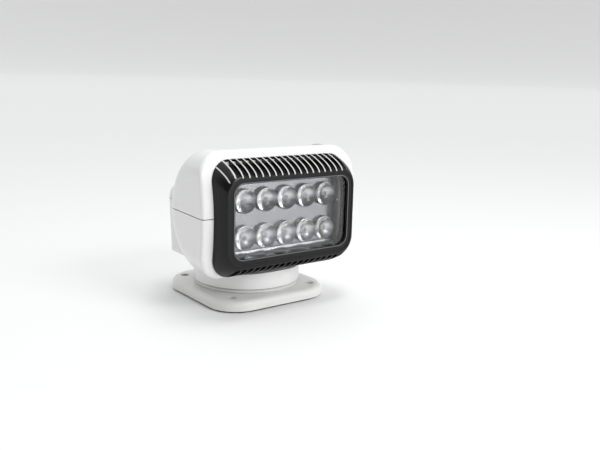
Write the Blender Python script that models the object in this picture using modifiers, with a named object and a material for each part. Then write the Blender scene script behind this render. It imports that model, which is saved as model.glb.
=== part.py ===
"""Motor-driven marine searchlight: square base, round-necked turret and a wide tilting lamp head.

The frame: +X is the light's right side seen from in front, -Y is the way it shines, +Z is up.
The origin is on the pan axis, on the underside of the deck gasket.
"""
import math

import bmesh
import bpy
from mathutils import Matrix, Vector

MM = 0.001
UP = Vector((0.0, 0.0, 1.0))

# Clearances
GAP = 0.3 * MM                    # between two pieces that touch
RUN = 0.1 * MM                    # round a shaft that turns in its bush
YOKE_GAP = 2.0 * MM               # between the turret's sides and the head's cheeks
SWING_GAP = 1.5 * MM              # between the turret and the back of the lamp chamber
DISH_GAP = 1.9 * MM               # between the neck and the corner of the swinging head

# Wall thicknesses
HEAD_WALL = 2.8 * MM
HEAD_FRONT_WALL = 3.0 * MM
TURRET_WALL = 2.8 * MM
TURRET_FLOOR = 3.0 * MM

# Deck gasket and base plate
GASKET_THICKNESS = 1.5 * MM
GASKET_INSET = 2.5 * MM
PLATE_MARGIN = 4.9 * MM           # plate beyond the foot of its raised ring
PLATE_CORNER = 34.5 * MM
PLATE_TOP = 13.5 * MM
PLATE_EDGE_ROUND = 6.0 * MM
DECK_HOLE_INSET = 19.8 * MM
DECK_HOLE_RADIUS = 4.2 * MM
RING_TOP = 17.6 * MM
RING_RADIUS = 60.6 * MM
RING_WALL = 15.6 * MM             # from the pan gear's pitch circle to the ring's outside
RING_FOOT_WIDTH = 6.9 * MM
RING_FOOT_HEIGHT = 1.4 * MM
RING_FOOT_EDGE = 0.25 * MM
WELL_FLOOR = 6.0 * MM
WASHER_GROOVE_DEPTH = 1.7 * MM
SEAL_GROOVE_DEPTH = 1.0 * MM
SEAL_WIDTH = 1.4 * MM
SEAL_EDGE = 1.6 * MM
WASHER_WIDTH = 4.4 * MM
WASHER_EDGE = 1.4 * MM

# Pan drive
RING_TEETH = 60
PAN_PINION_TEETH = 12
RING_GEAR_RIM = 3.1 * MM
RING_GEAR_HEIGHT = 6.2 * MM
PAN_PINION_HEIGHT = 5.4 * MM
PAN_PINION_SHAFT = 3.0 * MM
GEAR_BACKLASH = 0.32              # this and the next two as shares of the module
GEAR_ADDENDUM = 0.9
GEAR_DEDENDUM = 1.25
FLANK_ANGLE = math.radians(25.0)
WIDEST_ROOT = 0.46                # half width of a tooth's root, as a share of the pitch

# Spindle
SPINDLE_RADIUS = 9.0 * MM
SPINDLE_BORE = 5.5 * MM
SPINDLE_FLANGE_RADIUS = 11.5 * MM
SPINDLE_FLANGE_HEIGHT = 2.5 * MM
SPINDLE_WINDOW = (7.0 * MM, 6.0 * MM)
PAN_BUSH_WALL = 3.0 * MM
PAN_BUSH_FLANGE = 1.2 * MM
PAN_BUSH_FLANGE_RADIUS = 14.5 * MM
HUB_WALL = 3.7 * MM
HUB_HEIGHT = 10.1 * MM
SPINDLE_WASHER_HEIGHT = 0.8 * MM
SPINDLE_WASHER_RADIUS = 13.5 * MM
SPINDLE_NUT_HEIGHT = 4.0 * MM
SPINDLE_NUT_RADIUS = 12.4 * MM
SPINDLE_END = 0.6 * MM

# Cable grommet
GROMMET_Y = 18.5 * MM
GROMMET_HOLE = 5.0 * MM
GROMMET_BORE = 2.6 * MM
GROMMET_FLANGE = 6.0 * MM
GROMMET_FLANGE_HEIGHT = 1.2 * MM

# Turret
NECK_BOTTOM = 18.0 * MM
NECK_OVERHANG = 0.5 * MM          # neck beyond the raised ring under it
NECK_OVERLAP = 1.4 * MM           # how far the neck reaches into the rear box
TURRET_OVERHANG = 6.9 * MM        # arm and rear box beyond the neck
TURRET_BOTTOM = 41.7 * MM
TURRET_REAR_OVERHANG = 4.4 * MM   # rear box beyond the neck
TURRET_REAR_LEAN = 5.0 * MM
TURRET_REAR_SHOULDER = 21.0 * MM  # from its top to where the rear starts to lean
TURRET_TOP_REAR_ROUND = 18.0 * MM
TURRET_LOW_ROUND = 4.0 * MM
TURRET_LEAST_ROUND = 1.0 * MM
TURRET_EDGE_ROUND = 8.0 * MM
TILT_SETBACK = 16.1 * MM          # tilt axis behind the neck's front
KNUCKLE_RADIUS = 17.5 * MM
NOSE_DOWN = math.radians(45.0)
SEAM_GAP = 0.4 * MM

# Motors and gearboxes
PAN_GEARBOX_CLEARANCE = 6.3 * MM  # to the hub and to the neck's wall
PAN_GEARBOX_HEIGHT = 18.5 * MM
PAN_MOTOR_STEP = 3.0 * MM         # gearbox beyond the motor
PAN_MOTOR_HEIGHT = 32.0 * MM
MOTOR_EDGE_ROUND = 1.5 * MM
TILT_GEARBOX_RADIUS = 11.5 * MM
TILT_GEARBOX_LENGTH = 25.0 * MM
TILT_MOTOR_RADIUS = 11.2 * MM
TILT_MOTOR_LENGTH = 36.0 * MM
GEARBOX_BORE_DEPTH = 8.5 * MM
CRADLE_THICKNESS = 3.0 * MM
CRADLE_HALF = 12.0 * MM
CRADLE_DROP = 6.0 * MM

# Tilt drive
TILT_MODULE = 1.0 * MM
TILT_GEAR_TEETH = 26
TILT_PINION_TEETH = 12
TILT_GEAR_WIDTH = 6.0 * MM
TILT_GEAR_X = -27.0 * MM
TILT_PINION_SHAFT = 2.5 * MM
TILT_GEARBOX_OFFSET = 4.0 * MM
TILT_SHAFT_RADIUS = 6.0 * MM
TILT_SHAFT_REACH = 11.5 * MM      # shaft inside each of the head's cheeks
TILT_BUSH_WALL = 2.2 * MM
TILT_BUSH_FLANGE = 1.6 * MM
TILT_BUSH_FLANGE_RADIUS = 9.9 * MM
HUB_CLAMP_RADIUS = 12.0 * MM
HUB_CLAMP_LENGTH = 7.5 * MM

# Control board
BOARD_THICKNESS = 1.6 * MM
BOARD_LOW = (2.0 * MM, 52.0 * MM)
BOARD_INSET = (15.5 * MM, 10.5 * MM)  # from the rear and from the tilt axis's height
BOARD_POST_RADIUS = 3.0 * MM
BOARD_POST_LENGTH = 5.3 * MM
BOARD_POST_INSET = 4.5 * MM
BOARD_POST_ROOT = 0.9 * MM        # in the wall

# Screws that close the turret and the head
SCREW_SHANK = 1.5 * MM
SCREW_HEAD = 2.8 * MM
SCREW_HEAD_HEIGHT = 1.8 * MM
SCREW_GRIP = 8.0 * MM
POCKET_DEPTH = 7.0 * MM
POCKET_HALF = 3.8 * MM
POCKET_HEIGHT = 12.5 * MM
POCKET_CEILING = 7.0 * MM
BLOCK_WALL = 3.0 * MM
BLOCK_RISE = 10.0 * MM
HEAD_SCREW_SETBACK = 33.0 * MM    # behind the tilt axis
COVER_SCREW_INSET = 22.0 * MM
COVER_POCKET_DEPTH = 10.0 * MM

# Lamp head
HEAD_FOOT_Z = 40.5 * MM           # underside of its round body
HEAD_REACH = 28.3 * MM            # from the tilt axis to where the bowed front stands out most
FRONT_BOW_HIGH = 13.2 * MM       # how far the front falls back at the head's top
FRONT_BOW_LOW = 7.0 * MM         # and at its underside
CHEEK_WIDTH = 30.5 * MM           # each cheek at the head's front
HEAD_RADIUS = 66.0 * MM
HEAD_EDGE_ROUND = 27.0 * MM
HEAD_FRONT_ROUND = 4.0 * MM
HEAD_SIDE_TAPER = 0.07            # width lost on each side for each unit of depth
HEAD_OVERRUN = 60.0 * MM
FRONT_LIP = 9.0 * MM              # front wall that the bezel covers

# Bezel
BEZEL_DEPTH = 16.7 * MM           # where the front stands out most
BEZEL_MARGIN = 15.5 * MM          # housing that shows beyond the bezel's ends
BEZEL_LOW_MARGIN = 3.6 * MM       # housing below and above it
BEZEL_HIGH_MARGIN = 8.2 * MM
BEZEL_CORNER = 21.0 * MM
BEZEL_SLOPE_WIDTH = 4.0 * MM      # at its ends
BEZEL_LEAN = 0.55                 # straight share of the ribbed section, the rest is round
RIM_LOW_SLOPE = 11.9 * MM         # ribbed slopes below and above the rim
RIM_HIGH_SLOPE = 16.3 * MM
RIM_CORNER = 16.5 * MM
RIM_WIDTH = 8.0 * MM              # at the window's ends
RIM_LOW_WIDTH = 9.0 * MM          # and below and above the window
RIM_HIGH_WIDTH = 6.0 * MM
WINDOW_CORNER = 11.0 * MM
RIM_THICKNESS = 1.5 * MM
REBATE = 3.0 * MM
LOUVRE_COUNT = 18
LOUVRE_PITCH = 8.0 * MM
LOUVRE_WIDTH = 6.2 * MM
LOUVRE_DEPTH = 5.0 * MM
LOUVRE_END_DEPTH = 2.2 * MM
LOUVRE_START = math.radians(3.0)
LOUVRE_TOP_END = math.radians(80.0)
LOUVRE_LOW_END = math.radians(76.0)
BEZEL_SCREW_INSET = (9.0 * MM, 11.4 * MM)
BEZEL_SCREW_REACH = 6.0 * MM

# Window and light engine
LENS_GASKET_THICKNESS = 0.6 * MM
LENS_GASKET_WIDTH = 2.6 * MM
LENS_THICKNESS = 2.0 * MM
OPTIC_GAP = 0.4 * MM              # between two optics of a row
OPTIC_ROW_GAP = 12.8 * MM
OPTIC_DROP = 0.4 * MM             # rows below the plate's middle
OPTIC_END_MARGIN = 0.9 * MM       # plate beyond the outer optics
OPTIC_ROW_MARGIN = 4.0 * MM
OPTIC_RADIUS = 12.8 * MM
OPTIC_HEIGHT = 9.4 * MM
OPTIC_RIM = 1.0 * MM
OPTIC_SPIGOT_RADIUS = 10.0 * MM
OPTIC_SPIGOT_DEPTH = 1.1 * MM
REFLECTOR_INSET = 7.2 * MM        # inside the window's ends
REFLECTOR_LOW_INSET = 1.0 * MM    # inside the window's bottom and top
REFLECTOR_HIGH_INSET = 2.0 * MM
REFLECTOR_THICKNESS = 1.2 * MM
LED_BOARD_INSET = 1.8 * MM        # inside the reflector plate's ends
LED_BOARD_MARGIN = 3.0 * MM
LED_BOARD_THICKNESS = 1.0 * MM
SPREADER_OVERHANG = 1.0 * MM      # beyond the window's ends
SPREADER_MARGIN = 4.5 * MM        # beyond the window's top and bottom
SPREADER_THICKNESS = 1.5 * MM

# Worked out from the sizes above
PAN_MODULE = 2 * (RING_RADIUS - RING_WALL) / RING_TEETH
RING_FOOT_RADIUS = RING_RADIUS + RING_FOOT_WIDTH
PLATE_HALF = RING_FOOT_RADIUS + PLATE_MARGIN
DECK_HOLE_SPACING = 2 * (PLATE_HALF - DECK_HOLE_INSET)
NECK_RADIUS = RING_RADIUS + NECK_OVERHANG
HUB_RADIUS = SPINDLE_RADIUS + PAN_BUSH_WALL + HUB_WALL
PAN_GEARBOX_RADIUS = (NECK_RADIUS - TURRET_WALL - HUB_RADIUS) / 2 - PAN_GEARBOX_CLEARANCE
PAN_MOTOR_RADIUS = PAN_GEARBOX_RADIUS - PAN_MOTOR_STEP
TILT_Y = TILT_SETBACK - NECK_RADIUS
TILT_Z = HEAD_FOOT_Z + HEAD_RADIUS
TURRET_TOP = TILT_Z + KNUCKLE_RADIUS
TURRET_REAR_HIGH_Y = NECK_RADIUS + TURRET_REAR_OVERHANG
TURRET_REAR_LOW_Y = TURRET_REAR_HIGH_Y - TURRET_REAR_LEAN
TURRET_REAR_HIGH_Z = TURRET_TOP - TURRET_REAR_SHOULDER
BOARD_HIGH = (TURRET_REAR_HIGH_Y - BOARD_INSET[0], TILT_Z - BOARD_INSET[1])
HEAD_FRONT_Y = TILT_Y - HEAD_REACH
HEAD_SCREW_Y = TILT_Y + HEAD_SCREW_SETBACK
TURRET_HALF_WIDTH = NECK_RADIUS + TURRET_OVERHANG
COVER_SCREW_X = TURRET_HALF_WIDTH - COVER_SCREW_INSET
CHEEK_INNER_X = TURRET_HALF_WIDTH + YOKE_GAP
TILT_SHAFT_HALF = CHEEK_INNER_X + TILT_SHAFT_REACH
HEAD_HALF_WIDTH = CHEEK_INNER_X + CHEEK_WIDTH
BEZEL_HALF_WIDTH = HEAD_HALF_WIDTH - BEZEL_MARGIN
RIM_HALF_WIDTH = BEZEL_HALF_WIDTH - BEZEL_SLOPE_WIDTH
WINDOW_HALF_WIDTH = RIM_HALF_WIDTH - RIM_WIDTH
BEZEL_LOW = HEAD_FOOT_Z + BEZEL_LOW_MARGIN
BEZEL_HIGH = TILT_Z + HEAD_RADIUS - BEZEL_HIGH_MARGIN
RIM_LOW = BEZEL_LOW + RIM_LOW_SLOPE
RIM_HIGH = BEZEL_HIGH - RIM_HIGH_SLOPE
WINDOW_LOW = RIM_LOW + RIM_LOW_WIDTH
WINDOW_HIGH = RIM_HIGH - RIM_HIGH_WIDTH
REFLECTOR_HALF_WIDTH = WINDOW_HALF_WIDTH - REFLECTOR_INSET
REFLECTOR_LOW = WINDOW_LOW + REFLECTOR_LOW_INSET
REFLECTOR_HIGH = WINDOW_HIGH - REFLECTOR_HIGH_INSET
OPTIC_PITCH = 2 * OPTIC_RADIUS + OPTIC_GAP
OPTIC_ROW_PITCH = 2 * OPTIC_RADIUS + OPTIC_ROW_GAP
OPTIC_COLUMNS = 1 + int(2 * (REFLECTOR_HALF_WIDTH - OPTIC_RADIUS - OPTIC_END_MARGIN) / OPTIC_PITCH)
OPTIC_ROWS = 1 + int((REFLECTOR_HIGH - REFLECTOR_LOW - 2 * (OPTIC_RADIUS + OPTIC_ROW_MARGIN)) / OPTIC_ROW_PITCH)
OPTIC_CENTRE_Z = (REFLECTOR_LOW + REFLECTOR_HIGH) / 2 - OPTIC_DROP
LED_BOARD_HALF_WIDTH = REFLECTOR_HALF_WIDTH - LED_BOARD_INSET
SPREADER_HALF_WIDTH = WINDOW_HALF_WIDTH + SPREADER_OVERHANG
PLATE_BOTTOM = GASKET_THICKNESS + GAP
PAN_RING_PITCH_RADIUS = PAN_MODULE * RING_TEETH / 2
PAN_PINION_PITCH_RADIUS = PAN_MODULE * PAN_PINION_TEETH / 2
PAN_PINION_Y = PAN_RING_PITCH_RADIUS - PAN_PINION_PITCH_RADIUS
RING_GEAR_RADIUS = PAN_RING_PITCH_RADIUS + GEAR_DEDENDUM * PAN_MODULE + RING_GEAR_RIM
WELL_RADIUS = RING_GEAR_RADIUS + GAP
CHAMBER_BACK_Y = TILT_Y - KNUCKLE_RADIUS - SWING_GAP
HEAD_SWING_RADIUS = math.hypot(HEAD_FRONT_Y + FRONT_BOW_LOW - TILT_Y, HEAD_RADIUS)
TILT_PINION_Y = TILT_Y + TILT_MODULE * (TILT_GEAR_TEETH + TILT_PINION_TEETH) / 2
BEZEL_BACK_Y = HEAD_FRONT_Y - GAP
BEZEL_FRONT_Y = BEZEL_BACK_Y - BEZEL_DEPTH
BEZEL_CENTRE_Z = (BEZEL_LOW + BEZEL_HIGH) / 2
LIP_BACK_Y = BEZEL_FRONT_Y + RIM_THICKNESS
CHAMBER_INNER_Y = CHAMBER_BACK_Y - HEAD_WALL
TURRET_FLOOR_TOP = NECK_BOTTOM + TURRET_FLOOR

# How finely round shapes are divided
LARGE_STEPS = 40
DISH_STEPS = 40
ROUND_STEPS = 24
SMALL_STEPS = 14
HOLE_STEPS = 10
OPTIC_STEPS = 12
DOME_STEPS = 3
CORNER_STEPS = 4
PLATE_CORNER_STEPS = 6
EDGE_STEPS = 3
HEAD_STEPS = 14
HEAD_EDGE_STEPS = 4
BOW_STEPS = 5
BOW_PITCH = 12.4 * MM
BOW_SNAP = 0.4 * MM
UPRIGHT = 0.999                   # share of a face's direction that is along Y
BEZEL_STEPS = 4
LOUVRE_STEPS = 3

# The plane that an outline is drawn in, and the way it is thickened
TOP_VIEW = Matrix.Identity(4)
SIDE_VIEW = Matrix(((0, 0, 1, 0), (1, 0, 0, 0), (0, 1, 0, 0), (0, 0, 0, 1)))
FRONT_VIEW = Matrix(((1, 0, 0, 0), (0, 0, -1, 0), (0, 1, 0, 0), (0, 0, 0, 1)))

# Colour, roughness and metallic value of each finish
WHITE_PLASTIC = ((0.84, 0.84, 0.83), 0.32, 0.0)
DARK_PLASTIC = ((0.03, 0.03, 0.032), 0.5, 0.0)
BLACK_CASTING = ((0.012, 0.012, 0.013), 0.25, 0.1)
BLACK_ALUMINIUM = ((0.02, 0.02, 0.022), 0.45, 0.8)
RUBBER = ((0.02, 0.02, 0.02), 0.8, 0.0)
CLEAR = ((0.95, 0.96, 0.96), 0.05, 0.0)
SILVER = ((0.8, 0.8, 0.82), 0.12, 1.0)
STEEL = ((0.55, 0.55, 0.56), 0.3, 1.0)
BRONZE = ((0.55, 0.36, 0.16), 0.4, 1.0)
NYLON = ((0.75, 0.73, 0.66), 0.45, 0.0)
CIRCUIT_GREEN = ((0.02, 0.16, 0.07), 0.5, 0.0)
CIRCUIT_WHITE = ((0.75, 0.75, 0.72), 0.5, 0.0)

for old in list(bpy.data.objects):
    bpy.data.objects.remove(old, do_unlink=True)
PARTS = bpy.data.collections.new("marine_searchlight")
CUTTERS = bpy.data.collections.new("cutters")
for collection in (PARTS, CUTTERS):
    bpy.context.scene.collection.children.link(collection)


# Outlines

def arc(centre, radius, start, end, steps):
    """Points of an arc, from one angle in degrees to another, both ends with it."""
    points = []
    for step in range(steps + 1):
        angle = math.radians(start + (end - start) * step / steps)
        points.append((centre[0] + radius * math.cos(angle), centre[1] + radius * math.sin(angle)))
    return points


def circle(centre, radius, steps):
    """Points of a full circle, each once."""
    return arc(centre, radius, 0, 360, steps)[:-1]


def rounded_outline(corners, steps):
    """Closed outline of straight sides, each corner (u, v, radius) rounded by an arc."""
    points = []
    for index, (u, v, radius) in enumerate(corners):
        corner = Vector((u, v))
        before = (Vector(corners[index - 1][:2]) - corner).normalized()
        after = (Vector(corners[(index + 1) % len(corners)][:2]) - corner).normalized()
        half_angle = before.angle(after) / 2
        centre = corner + (before + after).normalized() * radius / math.sin(half_angle)
        first = corner + before * radius / math.tan(half_angle) - centre
        last = corner + after * radius / math.tan(half_angle) - centre
        turn = first.angle_signed(last)
        for step in range(steps + 1):
            angle = math.atan2(first.y, first.x) - turn * step / steps
            points.append((centre.x + radius * math.cos(angle), centre.y + radius * math.sin(angle)))
    return points


def rounded_rectangle(half_width, low, high, radius, steps=CORNER_STEPS):
    """Rounded rectangle, even about u = 0 and between two heights."""
    corners = [(half_width, low), (half_width, high), (-half_width, high), (-half_width, low)]
    return rounded_outline([(u, v, radius) for u, v in corners], steps)


def gear_outline(centre, teeth, module, phase, inward=False):
    """Straight-flanked teeth round a pitch circle; inward teeth are an internal gear's."""
    pitch_radius = module * teeth / 2
    side = -1 if inward else 1
    addendum = GEAR_ADDENDUM * module
    dedendum = GEAR_DEDENDUM * module
    tip = pitch_radius + side * addendum
    root = pitch_radius - side * dedendum
    half_pitch_tooth = module * (math.pi / 4 - GEAR_BACKLASH / 2)
    half_tip = (half_pitch_tooth - addendum * math.tan(FLANK_ANGLE)) / tip
    half_root = (half_pitch_tooth + dedendum * math.tan(FLANK_ANGLE)) / root
    half_root = min(half_root, WIDEST_ROOT * 2 * math.pi / teeth)
    points = []
    for tooth in range(teeth):
        middle = phase + 2 * math.pi * tooth / teeth
        for radius, shift in ((root, -half_root), (tip, -half_tip), (tip, half_tip), (root, half_root)):
            u = centre[0] + radius * math.cos(middle + shift)
            v = centre[1] + radius * math.sin(middle + shift)
            points.append((u, v))
    return points


# Shapes

def slab(outlines, low, high, view=TOP_VIEW):
    """Closed mesh of one outline with any holes in it, thickened from low to high."""
    curve = bpy.data.curves.new("outline", "CURVE")
    curve.dimensions = "2D"
    curve.fill_mode = "BOTH"
    curve.extrude = (high - low) / 2
    for outline in outlines:
        spline = curve.splines.new("POLY")
        spline.points.add(len(outline) - 1)
        for point, (u, v) in zip(spline.points, outline):
            point.co = (u, v, 0, 1)
        spline.use_cyclic_u = True
    holder = bpy.data.objects.new("outline", curve)
    CUTTERS.objects.link(holder)
    graph = bpy.context.evaluated_depsgraph_get()
    mesh = bpy.data.meshes.new_from_object(holder.evaluated_get(graph))
    shape = bmesh.new()
    shape.from_mesh(mesh)
    bmesh.ops.remove_doubles(shape, verts=shape.verts, dist=0.001 * MM)
    if len(outlines) == 1:
        bmesh.ops.dissolve_limit(shape, angle_limit=math.radians(0.2), verts=shape.verts, edges=shape.edges)
    bmesh.ops.transform(shape, verts=shape.verts, matrix=view @ Matrix.Translation(UP * (low + high) / 2))
    bmesh.ops.recalc_face_normals(shape, faces=shape.faces)
    bpy.data.objects.remove(holder)
    bpy.data.curves.remove(curve)
    bpy.data.meshes.remove(mesh)
    return shape


def box(low, high):
    """Closed box between two corners."""
    shape = bmesh.new()
    middle = (Vector(low) + Vector(high)) / 2
    size = Vector(high) - Vector(low)
    bmesh.ops.create_cube(shape, size=1.0, matrix=Matrix.Translation(middle) @ Matrix.Diagonal(size.to_4d()))
    return shape


def rod(radius, start, end, steps=SMALL_STEPS):
    """Closed cylinder between two points."""
    shape = bmesh.new()
    run = Vector(end) - Vector(start)
    place = Matrix.Translation((Vector(start) + Vector(end)) / 2) @ UP.rotation_difference(run).to_matrix().to_4x4()
    bmesh.ops.create_cone(shape, cap_ends=True, segments=steps, radius1=radius, radius2=radius,
                          depth=run.length, matrix=place)
    return shape


def loft(rings):
    """Closed skin over rings of equal count, with a flat face on each end ring."""
    shape = bmesh.new()
    loops = [[shape.verts.new(point) for point in ring] for ring in rings]
    count = len(rings[0])
    for near, far in zip(loops, loops[1:]):
        for index in range(count):
            after = (index + 1) % count
            shape.faces.new((near[index], near[after], far[after], far[index]))
    shape.faces.new(loops[0])
    shape.faces.new(loops[-1])
    bmesh.ops.recalc_face_normals(shape, faces=shape.faces)
    return shape


def merged(shapes):
    """One mesh that holds several shapes."""
    whole = bmesh.new()
    for shape in shapes:
        mesh = bpy.data.meshes.new("piece")
        shape.to_mesh(mesh)
        shape.free()
        whole.from_mesh(mesh)
        bpy.data.meshes.remove(mesh)
    return whole


def round_edges(shape, radius, segments, chosen):
    """Round the edges whose two ends both pass a test."""
    edges = [edge for edge in shape.edges if all(chosen(vertex.co) for vertex in edge.verts)]
    bmesh.ops.bevel(shape, geom=edges, offset=radius, offset_type="OFFSET", segments=segments,
                    profile=0.5, affect="EDGES", clamp_overlap=False, material=-1)
    return shape


def keep_side(shape, point, normal):
    """Cut a closed shape by a plane and keep the part that the normal points to."""
    geometry = list(shape.verts) + list(shape.edges) + list(shape.faces)
    result = bmesh.ops.bisect_plane(shape, geom=geometry, plane_co=point, plane_no=normal,
                                    clear_inner=True, dist=0.0001 * MM)
    cut = [item for item in result["geom_cut"] if isinstance(item, bmesh.types.BMEdge)]
    bmesh.ops.edgeloop_fill(shape, edges=cut)
    bmesh.ops.recalc_face_normals(shape, faces=shape.faces)
    return shape


# Objects

def finish(thing, look):
    """Give an object its own material and smooth shading with sharp edges."""
    colour, roughness, metallic = look
    material = bpy.data.materials.new(thing.name)
    material.use_nodes = True
    shader = material.node_tree.nodes["Principled BSDF"]
    shader.inputs["Base Color"].default_value = (*colour, 1.0)
    shader.inputs["Roughness"].default_value = roughness
    shader.inputs["Metallic"].default_value = metallic
    thing.data.materials.append(material)
    return thing


def part(name, shape, look):
    """A node of the model from a finished shape."""
    mesh = bpy.data.meshes.new(name)
    shape.to_mesh(mesh)
    shape.free()
    mesh.shade_smooth()
    mesh.set_sharp_from_angle(angle=math.radians(35))
    thing = bpy.data.objects.new(name, mesh)
    PARTS.objects.link(thing)
    return finish(thing, look)


def cutter(name, shape):
    """A tool body for Booleans, kept out of the render."""
    mesh = bpy.data.meshes.new(name)
    shape.to_mesh(mesh)
    shape.free()
    thing = bpy.data.objects.new(name, mesh)
    CUTTERS.objects.link(thing)
    thing.hide_render = True
    thing.display_type = "WIRE"
    return thing


def combine(thing, tool, operation="DIFFERENCE"):
    """Add an exact Boolean of a tool body to an object."""
    boolean = thing.modifiers.new(tool.name, "BOOLEAN")
    boolean.operation = operation
    boolean.solver = "EXACT"
    boolean.object = tool


def turned_object(name, profile, steps, closed, collection):
    """Object with a Screw modifier; the profile runs down its outer side, from top to bottom."""
    mesh = bpy.data.meshes.new(name)
    count = len(profile)
    edges = [(index, index + 1) for index in range(count - 1)]
    if closed:
        edges.append((count - 1, 0))
    mesh.from_pydata([(radius, 0.0, height) for radius, height in profile], edges, [])
    thing = bpy.data.objects.new(name, mesh)
    collection.objects.link(thing)
    screw = thing.modifiers.new("turn", "SCREW")
    screw.steps = steps
    screw.render_steps = steps
    screw.use_merge_vertices = True
    screw.merge_threshold = 0.001 * MM
    screw.use_smooth_shade = True
    return thing


def turned(name, profile, look, steps=ROUND_STEPS, closed=False):
    """A turned node."""
    return finish(turned_object(name, profile, steps, closed, PARTS), look)


def turned_cutter(name, profile, steps=ROUND_STEPS, closed=False):
    """A turned tool body."""
    thing = turned_object(name, profile, steps, closed, CUTTERS)
    thing.hide_render = True
    thing.display_type = "WIRE"
    return thing


def ring_profile(inner, outer, low, high):
    """Closed section of a plain ring, down its outer side first."""
    return [(outer, high), (outer, low), (inner, low), (inner, high)]


def bore_for(shaft_radius, steps):
    """Bore whose flats clear a shaft by the running clearance."""
    return (shaft_radius + RUN) / math.cos(math.pi / steps)


def pivot(name, place):
    """Empty on a joint's axis."""
    empty = bpy.data.objects.new(name, None)
    empty.location = place
    PARTS.objects.link(empty)
    return empty


def hang(things, parent):
    """Parent objects to an empty and keep them where they are."""
    bpy.context.view_layer.update()
    for thing in things:
        thing.parent = parent
        thing.matrix_parent_inverse = parent.matrix_world.inverted()


# Base

def deck_hole_places():
    """Centres of the four deck screw holes."""
    reach = DECK_HOLE_SPACING / 2
    return [(sx * reach, sy * reach) for sx in (-1, 1) for sy in (-1, 1)]


def make_deck_gasket():
    """Rubber sheet under the plate, with its screw holes and cable hole."""
    half = PLATE_HALF - GASKET_INSET
    outlines = [rounded_rectangle(half, -half, half, PLATE_CORNER - GASKET_INSET)]
    outlines += [circle(place, DECK_HOLE_RADIUS, HOLE_STEPS) for place in deck_hole_places()]
    outlines.append(circle((0, GROMMET_Y), GROMMET_FLANGE, SMALL_STEPS))
    return part("deck_gasket", slab(outlines, 0, GASKET_THICKNESS), RUBBER)


def make_base_plate():
    """Square plate with the raised ring, its grooves, the gear well and the holes."""
    outline = rounded_rectangle(PLATE_HALF, -PLATE_HALF, PLATE_HALF, PLATE_CORNER, PLATE_CORNER_STEPS)
    shape = slab([outline], PLATE_BOTTOM, PLATE_TOP)
    round_edges(shape, PLATE_EDGE_ROUND, EDGE_STEPS, lambda co: co.z > PLATE_TOP - GAP)
    plate = part("base_plate", shape, WHITE_PLASTIC)
    profile = []
    for step in range(EDGE_STEPS + 1):
        angle = math.radians(90) * step / EDGE_STEPS
        slope_x = RING_RADIUS + (RING_FOOT_RADIUS - RING_RADIUS) * (1 - math.cos(angle))
        profile.append((slope_x, PLATE_TOP + RING_FOOT_EDGE + RING_FOOT_HEIGHT * (1 - math.sin(angle))))
    below = (PLATE_BOTTOM + PLATE_TOP) / 2
    inner = WELL_RADIUS - WASHER_WIDTH
    profile += [(RING_FOOT_RADIUS, below), (inner, below), (inner, RING_TOP), (RING_RADIUS, RING_TOP)]
    ring = turned_cutter("raised_ring", profile, LARGE_STEPS, closed=True)
    ring.rotation_euler.z = math.pi / LARGE_STEPS
    combine(plate, ring, "UNION")
    well = rod(WELL_RADIUS, (0, 0, WELL_FLOOR), (0, 0, NECK_BOTTOM + TURRET_FLOOR), LARGE_STEPS)
    holes = [rod(DECK_HOLE_RADIUS, (x, y, 0), (x, y, RING_TOP), HOLE_STEPS) for x, y in deck_hole_places()]
    cable = rod(GROMMET_HOLE, (0, GROMMET_Y, 0), (0, GROMMET_Y, PLATE_TOP))
    combine(plate, cutter("well", well))
    combine(plate, cutter("deck_holes", merged(holes)))
    combine(plate, cutter("cable_hole", cable))
    seal_inner = RING_RADIUS - SEAL_EDGE - SEAL_WIDTH
    grooves = [("seal_groove", seal_inner - GAP, RING_RADIUS - SEAL_EDGE + GAP, SEAL_GROOVE_DEPTH)]
    washer_inner = WELL_RADIUS + WASHER_EDGE
    grooves.append(("washer_groove", washer_inner - GAP, washer_inner + WASHER_WIDTH + GAP, WASHER_GROOVE_DEPTH))
    for name, inner, outer, depth in grooves:
        profile = ring_profile(inner, outer, RING_TOP - depth, RING_TOP + depth)
        combine(plate, turned_cutter(name, profile, LARGE_STEPS, closed=True))
    return plate


def make_ring_parts():
    """Seal and thrust washer in the grooves of the raised ring."""
    top = NECK_BOTTOM - GAP
    outer = RING_RADIUS - SEAL_EDGE
    low = RING_TOP - SEAL_GROOVE_DEPTH + GAP
    seal = turned("neck_seal", ring_profile(outer - SEAL_WIDTH, outer, low, top), RUBBER,
                  LARGE_STEPS, closed=True)
    inner = WELL_RADIUS + WASHER_EDGE
    low = RING_TOP - WASHER_GROOVE_DEPTH + GAP
    washer = turned("thrust_washer", ring_profile(inner, inner + WASHER_WIDTH, low, top), NYLON,
                    LARGE_STEPS, closed=True)
    return [seal, washer]


def make_ring_gear():
    """Internal gear fixed in the well of the plate, with a space facing the pinion."""
    phase = math.pi / 2 + math.pi / RING_TEETH
    teeth = gear_outline((0, 0), RING_TEETH, PAN_MODULE, phase, inward=True)
    low = WELL_FLOOR + GAP
    shape = slab([circle((0, 0), RING_GEAR_RADIUS, LARGE_STEPS), teeth], low, low + RING_GEAR_HEIGHT)
    return part("pan_ring_gear", shape, NYLON)


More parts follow.
